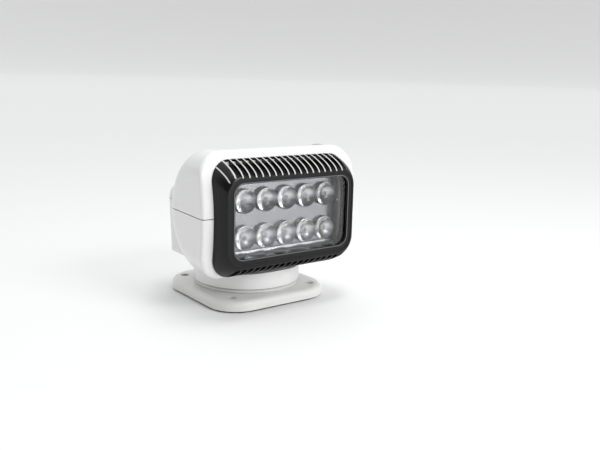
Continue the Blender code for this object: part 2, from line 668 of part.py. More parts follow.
def make_spindle_parts():
    """Hollow spindle with a wire window, its washer and its nut."""
    low = WELL_FLOOR + GAP
    hub_top = NECK_BOTTOM + HUB_HEIGHT
    washer_low = hub_top + GAP + PAN_BUSH_FLANGE + GAP
    nut_low = washer_low + SPINDLE_WASHER_HEIGHT + GAP
    top = nut_low + SPINDLE_NUT_HEIGHT + SPINDLE_END
    flange_top = low + SPINDLE_FLANGE_HEIGHT
    profile = [(SPINDLE_RADIUS, top), (SPINDLE_RADIUS, flange_top), (SPINDLE_FLANGE_RADIUS, flange_top),
               (SPINDLE_FLANGE_RADIUS, low), (SPINDLE_BORE, low), (SPINDLE_BORE, top)]
    spindle = turned("spindle", profile, STEEL, ROUND_STEPS, closed=True)
    width, height = SPINDLE_WINDOW
    window_low = flange_top + GAP
    window = box((-width / 2, 0, window_low), (width / 2, SPINDLE_FLANGE_RADIUS, window_low + height))
    combine(spindle, cutter("wire_window", window))
    bore = SPINDLE_RADIUS + GAP
    ring = ring_profile(bore, SPINDLE_WASHER_RADIUS, washer_low, washer_low + SPINDLE_WASHER_HEIGHT)
    washer = turned("spindle_washer", ring, STEEL, ROUND_STEPS, closed=True)
    hexagon = circle((0, 0), SPINDLE_NUT_RADIUS, 6)
    hole = circle((0, 0), bore, ROUND_STEPS)
    nut = part("spindle_nut", slab([hexagon, hole], nut_low, nut_low + SPINDLE_NUT_HEIGHT), STEEL)
    return [spindle, washer, nut]


def make_grommet():
    """Rubber bush of the cable hole in the plate's floor."""
    body = GROMMET_HOLE - GAP
    shoulder = WELL_FLOOR + GAP
    top = shoulder + GROMMET_FLANGE_HEIGHT
    flange = GROMMET_FLANGE - GAP
    profile = [(GROMMET_BORE, top), (flange, top), (flange, shoulder), (body, shoulder),
               (body, PLATE_BOTTOM), (GROMMET_BORE, PLATE_BOTTOM)]
    grommet = turned("cable_grommet", profile, RUBBER, SMALL_STEPS, closed=True)
    grommet.location = (0, GROMMET_Y, 0)
    return grommet


# Turret

def rear_wall_y(height, inset):
    """Depth of the turret's leaning rear face at a height, moved inwards by inset."""
    lean = math.atan2(TURRET_REAR_HIGH_Y - TURRET_REAR_LOW_Y, TURRET_REAR_HIGH_Z - TURRET_BOTTOM)
    rise = height - TURRET_BOTTOM
    return TURRET_REAR_LOW_Y + rise * math.tan(lean) - inset / math.cos(lean)


def front_wall_y(height, inset):
    """Depth of the turret's slanting front face, which clears the head when its nose is down."""
    reach = (KNUCKLE_RADIUS - inset) / math.cos(NOSE_DOWN)
    return TILT_Y - reach - (height - TILT_Z) * math.tan(NOSE_DOWN)


def turret_outline(inset):
    """Side view of the arm and rear box, smaller all round by inset."""
    low = TURRET_BOTTOM + inset
    high = TURRET_TOP - inset
    low_round = max(TURRET_LOW_ROUND - inset, TURRET_LEAST_ROUND)
    corners = [
        (front_wall_y(low, inset), low, low_round),
        (rear_wall_y(low, inset), low, low_round),
        (rear_wall_y(high, inset), high, TURRET_TOP_REAR_ROUND - inset),
        (front_wall_y(high, inset), high, KNUCKLE_RADIUS - inset),
    ]
    return rounded_outline(corners, 6)


def turret_body(inset):
    """Arm and rear box with rounded side edges."""
    radius = TURRET_EDGE_ROUND - inset
    middle = TURRET_HALF_WIDTH - inset - radius
    right = arc((middle, 0), radius, 90, 0, EDGE_STEPS)
    left = [(-x, depth) for x, depth in reversed(right)]
    rings = []
    for x, depth in left + right:
        rings.append([(x, y, z) for y, z in turret_outline(inset + radius - depth)])
    return loft(rings)


def neck_body(inset, name):
    """Round neck with the dish that the head swings over, as a tool body."""
    low = NECK_BOTTOM + (TURRET_FLOOR if inset else 0.0)
    high = TURRET_BOTTOM + inset + NECK_OVERLAP
    neck = cutter(name, rod(NECK_RADIUS - inset, (0, 0, low), (0, 0, high), LARGE_STEPS))
    radius = HEAD_SWING_RADIUS + DISH_GAP + inset
    reach = NECK_RADIUS + YOKE_GAP
    dish = rod(radius, (-reach, TILT_Y, TILT_Z), (reach, TILT_Y, TILT_Z), DISH_STEPS)
    combine(neck, cutter(name + "_dish", dish))
    return neck


def cover_screw_places():
    """Left and right screws between the turret's halves, in pockets of the rear wall."""
    y = rear_wall_y(TILT_Z - POCKET_CEILING, 0) - COVER_POCKET_DEPTH + POCKET_HALF
    return [("left", -COVER_SCREW_X, y), ("right", COVER_SCREW_X, y)]


def pocket_heights():
    """Lowest and highest point of a screw pocket, under the seam."""
    high = TILT_Z - POCKET_CEILING
    return high - POCKET_HEIGHT, high


def add_cover_screw_blocks(lower, cover):
    """Blocks, pockets and holes of the screws that join the turret's halves."""
    low, high = pocket_heights()
    half = POCKET_HALF + BLOCK_WALL
    blocks, caps, pockets, holes = [], [], [], []
    for _, x, y in cover_screw_places():
        front = y - POCKET_HALF - BLOCK_WALL
        wall = rear_wall_y(low, TURRET_WALL / 2)
        blocks.append(box((x - half, front, low - BLOCK_WALL), (x + half, wall, TILT_Z - SEAM_GAP)))
        caps.append(box((x - half, front, TILT_Z + SEAM_GAP), (x + half, y + BLOCK_WALL, TILT_Z + BLOCK_RISE)))
        mouth = rear_wall_y(high, 0) + POCKET_DEPTH
        pockets.append(box((x - POCKET_HALF, y - POCKET_HALF, low), (x + POCKET_HALF, mouth, high)))
        reach = TILT_Z + SCREW_GRIP + GAP
        holes.append(rod(SCREW_SHANK + GAP, (x, y, high - GAP), (x, y, reach), HOLE_STEPS))
    combine(lower, cutter("cover_blocks", merged(blocks)), "UNION")
    combine(cover, cutter("cover_caps", merged(caps)), "UNION")
    combine(lower, cutter("cover_pockets", merged(pockets)))
    hole_tool = cutter("cover_screw_holes", merged(holes))
    combine(lower, hole_tool)
    combine(cover, hole_tool)


def closing_screw(name, x, y):
    """Upright screw with its head at the ceiling of a pocket."""
    top = TILT_Z + SCREW_GRIP
    shoulder = pocket_heights()[1] - GAP
    low = shoulder - SCREW_HEAD_HEIGHT
    profile = [(0, top), (SCREW_SHANK, top), (SCREW_SHANK, shoulder), (SCREW_HEAD, shoulder),
               (SCREW_HEAD, low + GAP), (SCREW_HEAD - GAP, low), (0, low)]
    screw = turned(name, profile, STEEL, HOLE_STEPS)
    screw.location = (x, y, 0)
    return screw


def board_posts():
    """Posts of the control board on the turret's right side wall."""
    face = TURRET_HALF_WIDTH - TURRET_WALL
    posts = []
    for y in (BOARD_LOW[0] + BOARD_POST_INSET, BOARD_HIGH[0] - BOARD_POST_INSET):
        for z in (BOARD_LOW[1] + BOARD_POST_INSET, BOARD_HIGH[1] - BOARD_POST_INSET):
            posts.append(rod(BOARD_POST_RADIUS, (face - BOARD_POST_LENGTH, y, z), (face + BOARD_POST_ROOT, y, z), HOLE_STEPS))
    return posts


def cradle_ribs():
    """Two ribs on the slanting wall that carry the tilt gearbox and motor."""
    near, far = TILT_PINION_Y - CRADLE_HALF, TILT_PINION_Y + CRADLE_HALF
    depth = TURRET_WALL / 2
    top = TILT_Z - CRADLE_DROP
    lean = math.tan(NOSE_DOWN)
    foot = TILT_Z - (near - front_wall_y(TILT_Z, depth)) / lean
    outline = [(near, foot), (far, foot - (far - near) / lean), (far, top), (near, top)]
    start = TILT_GEAR_X + TILT_GEAR_WIDTH / 2 + TILT_GEARBOX_OFFSET
    ribs = []
    for x in (start + TILT_GEARBOX_LENGTH / 2, start + TILT_GEARBOX_LENGTH + TILT_MOTOR_LENGTH / 2):
        ribs.append(slab([outline], x - CRADLE_THICKNESS / 2, x + CRADLE_THICKNESS / 2, SIDE_VIEW))
    return ribs


def make_turret():
    """Lower turret with the neck, and the cover above the seam."""
    seam_low = (0, 0, TILT_Z - SEAM_GAP / 2)
    seam_high = (0, 0, TILT_Z + SEAM_GAP / 2)
    lower = part("turret_lower", keep_side(turret_body(0), seam_low, -UP), WHITE_PLASTIC)
    cover = part("turret_cover", keep_side(turret_body(0), seam_high, UP), WHITE_PLASTIC)
    combine(lower, neck_body(0, "neck"), "UNION")
    hollow = cutter("turret_hollow", turret_body(TURRET_WALL))
    combine(lower, hollow)
    combine(lower, neck_body(TURRET_WALL, "neck_hollow"))
    combine(cover, hollow)
    bush_radius = bore_for(SPINDLE_RADIUS, ROUND_STEPS) + PAN_BUSH_WALL
    hub = rod(bush_radius + HUB_WALL, (0, 0, NECK_BOTTOM + GAP), (0, 0, NECK_BOTTOM + HUB_HEIGHT), ROUND_STEPS)
    combine(lower, cutter("hub", hub), "UNION")
    low = NECK_BOTTOM - TURRET_FLOOR
    high = NECK_BOTTOM + HUB_HEIGHT + TURRET_FLOOR
    bush_hole = rod(bush_radius + GAP, (0, 0, low), (0, 0, high), ROUND_STEPS)
    combine(lower, cutter("bush_hole", bush_hole))
    top = TURRET_FLOOR_TOP + TURRET_FLOOR
    pinion_hole = rod(PAN_PINION_SHAFT + GAP * 2, (0, PAN_PINION_Y, low), (0, PAN_PINION_Y, top))
    combine(lower, cutter("pinion_hole", pinion_hole))
    reach = TURRET_HALF_WIDTH + YOKE_GAP
    shaft_hole = bore_for(TILT_SHAFT_RADIUS, SMALL_STEPS) + TILT_BUSH_WALL + GAP
    side_holes = cutter("side_holes", rod(shaft_hole, (-reach, TILT_Y, TILT_Z), (reach, TILT_Y, TILT_Z)))
    combine(lower, cutter("board_posts", merged(board_posts())), "UNION")
    combine(lower, cutter("cradle_ribs", merged(cradle_ribs())), "UNION")
    start = TILT_GEAR_X
    end = start + TILT_GEARBOX_OFFSET + TILT_GEARBOX_LENGTH + TILT_MOTOR_LENGTH + TILT_GEAR_WIDTH
    saddle = rod(TILT_GEARBOX_RADIUS + GAP, (start, TILT_PINION_Y, TILT_Z), (end, TILT_PINION_Y, TILT_Z))
    combine(lower, cutter("saddle", saddle))
    combine(lower, side_holes)
    combine(cover, side_holes)
    add_cover_screw_blocks(lower, cover)
    screws = [closing_screw("cover_screw_" + side, x, y) for side, x, y in cover_screw_places()]
    return [lower, cover] + screws


def make_pan_bush():
    """Flanged bush between the hub and the spindle."""
    inner = bore_for(SPINDLE_RADIUS, ROUND_STEPS)
    outer = inner + PAN_BUSH_WALL
    shoulder = NECK_BOTTOM + HUB_HEIGHT + GAP
    top = shoulder + PAN_BUSH_FLANGE
    profile = [(PAN_BUSH_FLANGE_RADIUS, top), (PAN_BUSH_FLANGE_RADIUS, shoulder), (outer, shoulder),
               (outer, NECK_BOTTOM), (inner, NECK_BOTTOM), (inner, top)]
    return turned("pan_bush", profile, BRONZE, ROUND_STEPS, closed=True)


def motor_profile(radius, low, high):
    """Can with rounded ends, from its top down."""
    edge = MOTOR_EDGE_ROUND
    return [(0, high), (radius - edge, high), (radius, high - edge), (radius, low + edge),
            (radius - edge, low), (0, low)]


def make_pan_drive():
    """Gearbox and motor above the turret's floor, and the pinion below it."""
    low = TURRET_FLOOR_TOP + GAP
    high = low + PAN_GEARBOX_HEIGHT
    radius = PAN_GEARBOX_RADIUS
    bore = bore_for(PAN_PINION_SHAFT, SMALL_STEPS)
    depth = low + GEARBOX_BORE_DEPTH
    profile = [(0, high), (radius, high), (radius, low), (bore, low), (bore, depth), (0, depth)]
    gearbox = turned("pan_gearbox", profile, STEEL)
    motor_low = high + GAP
    motor = turned("pan_motor", motor_profile(PAN_MOTOR_RADIUS, motor_low, motor_low + PAN_MOTOR_HEIGHT), STEEL)
    for thing in (gearbox, motor):
        thing.location = (0, PAN_PINION_Y, 0)
    tooth_low = WELL_FLOOR + 3 * GAP
    teeth = gear_outline((0, 0), PAN_PINION_TEETH, PAN_MODULE, math.pi / 2)
    pinion = part("pan_pinion", slab([teeth], tooth_low, tooth_low + PAN_PINION_HEIGHT), STEEL)
    start = tooth_low + PAN_PINION_HEIGHT / 2
    shaft = cutter("pan_pinion_shaft", rod(PAN_PINION_SHAFT, (0, 0, start), (0, 0, depth - GAP)))
    shaft.location = (0, PAN_PINION_Y, 0)
    combine(pinion, shaft, "UNION")
    pinion.location = (0, PAN_PINION_Y, 0)
    return gearbox, motor, pinion


def turn_to_x(thing, y, z, x=0.0):
    """Lay a turned piece along X at a place."""
    thing.rotation_euler = (0, math.radians(90), 0)
    thing.location = (x, y, z)
    return thing


def make_tilt_drive():
    """Gearbox and motor on the cradle, and the pinion behind the tilt gear."""
    start = TILT_GEAR_X + TILT_GEAR_WIDTH / 2 + TILT_GEARBOX_OFFSET
    end = start + TILT_GEARBOX_LENGTH
    bore = bore_for(TILT_PINION_SHAFT, SMALL_STEPS)
    depth = start + GEARBOX_BORE_DEPTH
    radius = TILT_GEARBOX_RADIUS
    profile = [(0, end), (radius, end), (radius, start), (bore, start), (bore, depth), (0, depth)]
    gearbox = turn_to_x(turned("tilt_gearbox", profile, STEEL, SMALL_STEPS), TILT_PINION_Y, TILT_Z)
    motor_shape = motor_profile(TILT_MOTOR_RADIUS, end + GAP, end + GAP + TILT_MOTOR_LENGTH)
    motor = turn_to_x(turned("tilt_motor", motor_shape, STEEL, SMALL_STEPS), TILT_PINION_Y, TILT_Z)
    teeth = gear_outline((0, 0), TILT_PINION_TEETH, TILT_MODULE, math.pi / TILT_PINION_TEETH)
    low = TILT_GEAR_X - TILT_GEAR_WIDTH / 2
    pinion = part("tilt_pinion", slab([teeth], low, low + TILT_GEAR_WIDTH, SIDE_VIEW), STEEL)
    shaft_shape = rod(TILT_PINION_SHAFT, (TILT_GEAR_X, 0, 0), (depth - GAP, 0, 0))
    shaft = cutter("tilt_pinion_shaft", shaft_shape)
    combine(pinion, shaft, "UNION")
    for thing in (pinion, shaft):
        thing.location = (0, TILT_PINION_Y, TILT_Z)
    return gearbox, motor, pinion


def make_tilt_bush(name, side):
    """Flanged bush of the cross shaft, in the holes of the turret's side wall."""
    inner = bore_for(TILT_SHAFT_RADIUS, SMALL_STEPS)
    outer = inner + TILT_BUSH_WALL
    wall = TURRET_HALF_WIDTH - TURRET_WALL - GAP
    end = TURRET_HALF_WIDTH + GAP
    flange = wall - TILT_BUSH_FLANGE
    profile = [(outer, end), (outer, wall), (TILT_BUSH_FLANGE_RADIUS, wall),
               (TILT_BUSH_FLANGE_RADIUS, flange), (inner, flange), (inner, end)]
    bush = turn_to_x(turned(name, profile, BRONZE, SMALL_STEPS, closed=True), TILT_Y, TILT_Z)
    bush.rotation_euler = (0, math.radians(90) * side, 0)
    return bush


def make_control_board():
    """Motor control board on its posts."""
    face = TURRET_HALF_WIDTH - TURRET_WALL - BOARD_POST_LENGTH - GAP
    low = (face - BOARD_THICKNESS, BOARD_LOW[0], BOARD_LOW[1])
    return part("control_board", box(low, (face, BOARD_HIGH[0], BOARD_HIGH[1])), CIRCUIT_GREEN)


# Head

def front_bow(height, low_bow=FRONT_BOW_LOW):
    """How far the bowed front falls back at a height."""
    share = (height - TILT_Z) / HEAD_RADIUS
    return (FRONT_BOW_HIGH if share > 0 else low_bow) * share ** 2


def split_at(shape, geometry, height):
    """Split part of a shape along a level plane, without slivers beside its own vertices."""
    bmesh.ops.bisect_plane(shape, geom=geometry, plane_co=(0, 0, height), plane_no=UP, dist=BOW_SNAP)


def split_levels(shape, depth):
    """Split a shape into level bands, so that what lies in front of a depth can be bowed."""
    for step in range(-BOW_STEPS, BOW_STEPS):
        geometry = list(shape.verts) + list(shape.edges) + list(shape.faces)
        split_at(shape, geometry, TILT_Z + (step + 0.5) * BOW_PITCH)
    shape.normal_update()
    upright = [face for face in shape.faces
               if abs(face.normal.y) > UPRIGHT and all(vertex.co.y < depth for vertex in face.verts)]
    levels = sorted({round(vertex.co.z / BOW_SNAP) for face in upright for vertex in face.verts})
    for level in levels:
        shape.normal_update()
        upright = [face for face in shape.faces
                   if abs(face.normal.y) > UPRIGHT and all(vertex.co.y < depth for vertex in face.verts)]
        edges = {edge for face in upright for edge in face.edges}
        vertices = {vertex for face in upright for vertex in face.verts}
        split_at(shape, upright + list(edges) + list(vertices), level * BOW_SNAP)


def flat_facets(shape, vertices):
    """Triangulate every face that holds one of the moved vertices."""
    faces = list({face for vertex in vertices for face in vertex.link_faces})
    bmesh.ops.triangulate(shape, faces=faces)
    bmesh.ops.recalc_face_normals(shape, faces=shape.faces)
    return shape


def bow(shape, depth, low_bow=FRONT_BOW_LOW):
    """Move all that lies in front of a depth back along the bowed front."""
    split_levels(shape, depth)
    moved = [vertex for vertex in shape.verts if vertex.co.y < depth]
    for vertex in moved:
        vertex.co.y += front_bow(vertex.co.z, low_bow)
    return flat_facets(shape, moved)


def head_body(inset, front_y, front_round=0.0):
    """D-shaped head with rounded side edges, a bowed front and tapering sides, smaller by inset."""
    radius = HEAD_RADIUS - inset
    start = HEAD_FRONT_Y - HEAD_OVERRUN
    outline = [(start, TILT_Z - radius)] + arc((TILT_Y, TILT_Z), radius, -90, 90, HEAD_STEPS)
    outline.append((start, TILT_Z + radius))
    half = HEAD_HALF_WIDTH - inset
    shape = slab([outline], -half, half, SIDE_VIEW)
    for side in (-1, 1):
        round_edges(shape, HEAD_EDGE_ROUND - inset, HEAD_EDGE_STEPS, lambda co: co.x * side > half - GAP / 10)
    keep_side(shape, (0, front_y, 0), (0, 1, 0))
    if front_round:
        round_edges(shape, front_round, EDGE_STEPS, lambda co: co.y < front_y + GAP / 10)
    bow(shape, front_y + front_round + GAP)
    for vertex in shape.verts:
        vertex.co.x *= 1 - HEAD_SIDE_TAPER * (vertex.co.y - HEAD_FRONT_Y) / HEAD_HALF_WIDTH
    return shape


def head_outer():
    """Outside of the head with its front edge rounded."""
    return head_body(0, HEAD_FRONT_Y, HEAD_FRONT_ROUND)


def yoke_slot(inset):
    """Space between the cheeks, behind the lamp chamber, larger all round by inset."""
    half = CHEEK_INNER_X + inset
    reach = HEAD_RADIUS + HEAD_WALL
    low = (-half, CHAMBER_BACK_Y - inset, TILT_Z - reach)
    return bow(box(low, (half, TILT_Y + reach, TILT_Z + reach)), TILT_Y, 0.0)


def shell_screw_places():
    """Left and right screws between the shells, beside the cheeks' inner walls."""
    x = CHEEK_INNER_X + POCKET_HALF + BLOCK_WALL
    return [("left", -x, HEAD_SCREW_Y), ("right", x, HEAD_SCREW_Y)]


def add_shell_screw_blocks(upper, lower):
    """Posts, deep wells from the underside and holes of the screws that join the shells."""
    _, high = pocket_heights()
    half = POCKET_HALF + BLOCK_WALL
    posts, caps, wells, holes = [], [], [], []
    for _, x, y in shell_screw_places():
        side = math.copysign(1, x)
        near, far = sorted((side * (CHEEK_INNER_X + HEAD_WALL / 2), x + side * half))
        posts.append(box((near, y - half, TILT_Z - HEAD_RADIUS), (far, y + half, TILT_Z - SEAM_GAP)))
        caps.append(box((near, y - half, TILT_Z + SEAM_GAP), (far, y + half, TILT_Z + BLOCK_RISE)))
        wells.append(rod(POCKET_HALF, (x, y, TILT_Z - HEAD_RADIUS), (x, y, high)))
        reach = TILT_Z + SCREW_GRIP + GAP
        holes.append(rod(SCREW_SHANK + GAP, (x, y, high - GAP), (x, y, reach), HOLE_STEPS))
    post_tool = cutter("shell_posts", merged(posts))
    combine(post_tool, cutter("post_limit", head_body(HEAD_WALL / 2, HEAD_FRONT_Y)), "INTERSECT")
    combine(lower, post_tool, "UNION")
    combine(upper, cutter("shell_caps", merged(caps)), "UNION")
    combine(lower, cutter("shell_wells", merged(wells)))
    hole_tool = cutter("shell_screw_holes", merged(holes))
    combine(lower, hole_tool)
    combine(upper, hole_tool)


def bezel_screw_places():
    """Centres of the four screws that hold the bezel."""
    x = BEZEL_HALF_WIDTH - BEZEL_SCREW_INSET[0]
    z = (BEZEL_HIGH - BEZEL_LOW) / 2 - BEZEL_SCREW_INSET[1]
    places = []
    for side in (-1, 1):
        places.append((side * x, BEZEL_CENTRE_Z - z))
        places.append((side * x, BEZEL_CENTRE_Z + z))
    return places


def make_shells():
    """Upper and lower shell with the lamp chamber, the cheeks and the front opening."""
    seam_low = (0, 0, TILT_Z - SEAM_GAP / 2)
    seam_high = (0, 0, TILT_Z + SEAM_GAP / 2)
    lower = part("lower_shell", keep_side(head_outer(), seam_low, -UP), WHITE_PLASTIC)
    upper = part("upper_shell", keep_side(head_outer(), seam_high, UP), WHITE_PLASTIC)
    slot = cutter("yoke_slot", yoke_slot(0))
    hollow = cutter("head_hollow", head_body(HEAD_WALL, HEAD_FRONT_Y + HEAD_FRONT_WALL))
    combine(hollow, cutter("cheek_walls", yoke_slot(HEAD_WALL)))
    window = rounded_rectangle(BEZEL_HALF_WIDTH - FRONT_LIP, BEZEL_LOW + FRONT_LIP, BEZEL_HIGH - FRONT_LIP,
                               BEZEL_CORNER - FRONT_LIP / 2)
    deep = -CHAMBER_INNER_Y + GAP / 2
    shape = slab([window], deep, -BEZEL_BACK_Y + HEAD_FRONT_WALL, FRONT_VIEW)
    opening = cutter("front_opening", bow(shape, -deep + GAP, 0.0))
    reach = CHEEK_INNER_X + 2 * HEAD_WALL
    shaft = rod(TILT_SHAFT_RADIUS + GAP, (-reach, TILT_Y, TILT_Z), (reach, TILT_Y, TILT_Z))
    shaft_hole = cutter("cheek_shaft_holes", shaft)
    screw_holes = []
    for x, z in bezel_screw_places():
        middle = HEAD_FRONT_Y + front_bow(z) + HEAD_FRONT_WALL / 2
        ends = [(x, middle + side * HEAD_FRONT_WALL, z) for side in (-1, 1)]
        screw_holes.append(rod(SCREW_SHANK + GAP, ends[0], ends[1], HOLE_STEPS))
    screw_tool = cutter("bezel_screw_holes", merged(screw_holes))
    for shell in (upper, lower):
        for tool in (slot, hollow, opening, shaft_hole, screw_tool):
            combine(shell, tool)
    add_shell_screw_blocks(upper, lower)
    screws = [closing_screw("shell_screw_" + side, x, y) for side, x, y in shell_screw_places()]
    return [upper, lower] + screws


def section_share(angle):
    """Fall of the bezel's section towards the rim, from 0 at the back to 1 at a quarter turn."""
    return BEZEL_LEAN * math.sin(angle) + (1 - BEZEL_LEAN) * (1 - math.cos(angle))


def bezel_ring(angle):
    """Outline of the bezel at a place on its section, before its back is bowed."""
    share = section_share(angle)
    half = BEZEL_HALF_WIDTH + (RIM_HALF_WIDTH - BEZEL_HALF_WIDTH) * share
    low = BEZEL_LOW + (RIM_LOW - BEZEL_LOW) * share
    high = BEZEL_HIGH + (RIM_HIGH - BEZEL_HIGH) * share
    radius = BEZEL_CORNER + (RIM_CORNER - BEZEL_CORNER) * share
    depth = BEZEL_BACK_Y - BEZEL_DEPTH * math.sin(angle)
    return [(u, depth, v) for u, v in rounded_rectangle(half, low, high, radius)]


def bowed_depth(depth, height):
    """Depth of a point of the bezel once its back follows the housing; its front stays flat."""
    return depth + front_bow(height) * (depth - BEZEL_FRONT_Y) / BEZEL_DEPTH


def bezel_body():
    """Convex body of the bezel with a bowed back."""
    shape = loft([bezel_ring(math.radians(90) * step / BEZEL_STEPS) for step in range(BEZEL_STEPS + 1)])
    split_levels(shape, 0.0)
    for vertex in shape.verts:
        vertex.co.y = bowed_depth(vertex.co.y, vertex.co.z)
    return flat_facets(shape, list(shape.verts))


def louvre_outline(edge, rim, end):
    """Side view of one slot under the bezel's convex surface, shallower towards the rim."""
    places = []
    for step in range(-1, LOUVRE_STEPS + 2):
        angle = LOUVRE_START + (end - LOUVRE_START) * step / LOUVRE_STEPS
        height = edge + (rim - edge) * section_share(angle)
        places.append(Vector((bowed_depth(BEZEL_BACK_Y - BEZEL_DEPTH * math.sin(angle), height), height)))
    outer, inner = [], []
    for step in range(LOUVRE_STEPS + 1):
        run = (places[step + 2] - places[step]).normalized()
        normal = Vector((run.y, -run.x)) * math.copysign(1, edge - rim)
        depth = LOUVRE_DEPTH + (LOUVRE_END_DEPTH - LOUVRE_DEPTH) * step / LOUVRE_STEPS
        outer.append(tuple(places[step + 1] + normal * LOUVRE_DEPTH / 2))
        inner.append(tuple(places[step + 1] - normal * depth))
    return outer + inner[::-1]


def make_bezel():
    """Ribbed frame: a convex loft with the window, the lens rebate and two rows of slots."""
    bezel = part("bezel", bezel_body(), BLACK_CASTING)
    window = rounded_rectangle(WINDOW_HALF_WIDTH, WINDOW_LOW, WINDOW_HIGH, WINDOW_CORNER)
    front = -BEZEL_FRONT_Y + RIM_THICKNESS
    back = -CHAMBER_BACK_Y - HEAD_WALL
    combine(bezel, cutter("bezel_window", slab([window], back, front, FRONT_VIEW)))
    rebate = rounded_rectangle(WINDOW_HALF_WIDTH + REBATE, WINDOW_LOW - REBATE, WINDOW_HIGH + REBATE,
                               WINDOW_CORNER + REBATE)
    combine(bezel, cutter("lens_rebate", slab([rebate], back, -LIP_BACK_Y, FRONT_VIEW)))
    for name, edge, rim, end in (("top_louvres", BEZEL_HIGH, RIM_HIGH, LOUVRE_TOP_END),
                                 ("low_louvres", BEZEL_LOW, RIM_LOW, LOUVRE_LOW_END)):
        outline = louvre_outline(edge, rim, end)
        slots = []
        for index in range(LOUVRE_COUNT):
            middle = (index - (LOUVRE_COUNT - 1) / 2) * LOUVRE_PITCH
            slots.append(slab([outline], middle - LOUVRE_WIDTH / 2, middle + LOUVRE_WIDTH / 2, SIDE_VIEW))
        combine(bezel, cutter(name, merged(slots)))
    holes = []
    for x, z in bezel_screw_places():
        face = BEZEL_BACK_Y + front_bow(z)
        holes.append(rod(SCREW_SHANK + GAP, (x, face + RIM_THICKNESS, z), (x, face - BEZEL_SCREW_REACH, z), HOLE_STEPS))
    combine(bezel, cutter("bezel_blind_holes", merged(holes)))
    return bezel


def bezel_screw(name, x, z):
    """Screw from inside the front wall into the bezel."""
    face = HEAD_FRONT_Y + front_bow(z)
    rise = abs(front_bow(z + SCREW_HEAD) - front_bow(z - SCREW_HEAD)) / 2
    shoulder = face + HEAD_FRONT_WALL + GAP + rise
    top = shoulder + SCREW_HEAD_HEIGHT
    end = face - BEZEL_SCREW_REACH
    head = SCREW_HEAD - GAP
    profile = [(0, top), (head, top), (head, shoulder), (SCREW_SHANK, shoulder), (SCREW_SHANK, end), (0, end)]
    screw = turned(name, profile, STEEL, HOLE_STEPS)
    screw.rotation_euler = (math.radians(-90), 0, 0)
    screw.location = (x, 0, z)
    return screw


def make_window_parts():
    """Lens and its gasket behind the bezel's lip."""
    seat = REBATE - GAP
    outer = rounded_rectangle(WINDOW_HALF_WIDTH + seat, WINDOW_LOW - seat, WINDOW_HIGH + seat, WINDOW_CORNER + seat)
    edge = seat - LENS_GASKET_WIDTH
    inner = rounded_rectangle(WINDOW_HALF_WIDTH + edge, WINDOW_LOW - edge, WINDOW_HIGH + edge,
                              WINDOW_CORNER + edge)
    front = -LIP_BACK_Y - GAP
    back = front - LENS_GASKET_THICKNESS
    gasket = part("lens_gasket", slab([outer, inner], back, front, FRONT_VIEW), RUBBER)
    lens = part("lens", slab([outer], back - GAP - LENS_THICKNESS, back - GAP, FRONT_VIEW), CLEAR)
    return [gasket, lens]


def optic_places():
    """Centres of the optics, row by row from the top."""
    places = []
    for row in range(OPTIC_ROWS):
        for column in range(OPTIC_COLUMNS):
            x = (column - (OPTIC_COLUMNS - 1) / 2) * OPTIC_PITCH
            places.append((x, OPTIC_CENTRE_Z + ((OPTIC_ROWS - 1) / 2 - row) * OPTIC_ROW_PITCH))
    return places


def make_light_engine():
    """Heat spreader, LED board, reflector plate and ten dome optics, from back to front."""
    spreader_back = -CHAMBER_INNER_Y + GAP
    spreader_front = spreader_back + SPREADER_THICKNESS
    board_back = spreader_front + GAP
    board_front = board_back + LED_BOARD_THICKNESS
    plate_back = board_front + GAP
    plate_front = plate_back + REFLECTOR_THICKNESS
    outline = rounded_rectangle(SPREADER_HALF_WIDTH, WINDOW_LOW - SPREADER_MARGIN, WINDOW_HIGH + SPREADER_MARGIN,
                                WINDOW_CORNER)
    spreader = part("heat_spreader", slab([outline], spreader_back, spreader_front, FRONT_VIEW), BLACK_ALUMINIUM)
    outline = rounded_rectangle(LED_BOARD_HALF_WIDTH, REFLECTOR_LOW + LED_BOARD_MARGIN,
                                REFLECTOR_HIGH - LED_BOARD_MARGIN, LED_BOARD_MARGIN)
    board = part("led_board", slab([outline], board_back, board_front, FRONT_VIEW), CIRCUIT_WHITE)
    outline = rounded_rectangle(REFLECTOR_HALF_WIDTH, REFLECTOR_LOW, REFLECTOR_HIGH, 2 * LED_BOARD_MARGIN)
    seats = [circle(place, OPTIC_SPIGOT_RADIUS + GAP, OPTIC_STEPS) for place in optic_places()]
    plate = part("reflector_plate", slab([outline] + seats, plate_back, plate_front, FRONT_VIEW), SILVER)
    shoulder = plate_front + GAP
    dome = []
    for step in range(DOME_STEPS + 1):
        angle = math.radians(90) * step / DOME_STEPS
        rise = OPTIC_RIM + (OPTIC_HEIGHT - OPTIC_RIM) * math.cos(angle)
        dome.append((OPTIC_RADIUS * math.sin(angle), shoulder + rise))
    foot = shoulder - OPTIC_SPIGOT_DEPTH
    profile = dome + [(OPTIC_RADIUS, shoulder), (OPTIC_SPIGOT_RADIUS, shoulder), (OPTIC_SPIGOT_RADIUS, foot), (0, foot)]
    optics = []
    for index, (x, z) in enumerate(optic_places()):
        optic = turned("optic_%d" % (index + 1), profile, CLEAR, OPTIC_STEPS)
        optic.rotation_euler = (math.radians(90), 0, 0)
        optic.location = (x, 0, z)
        optics.append(optic)
    return [spreader, board, plate] + optics


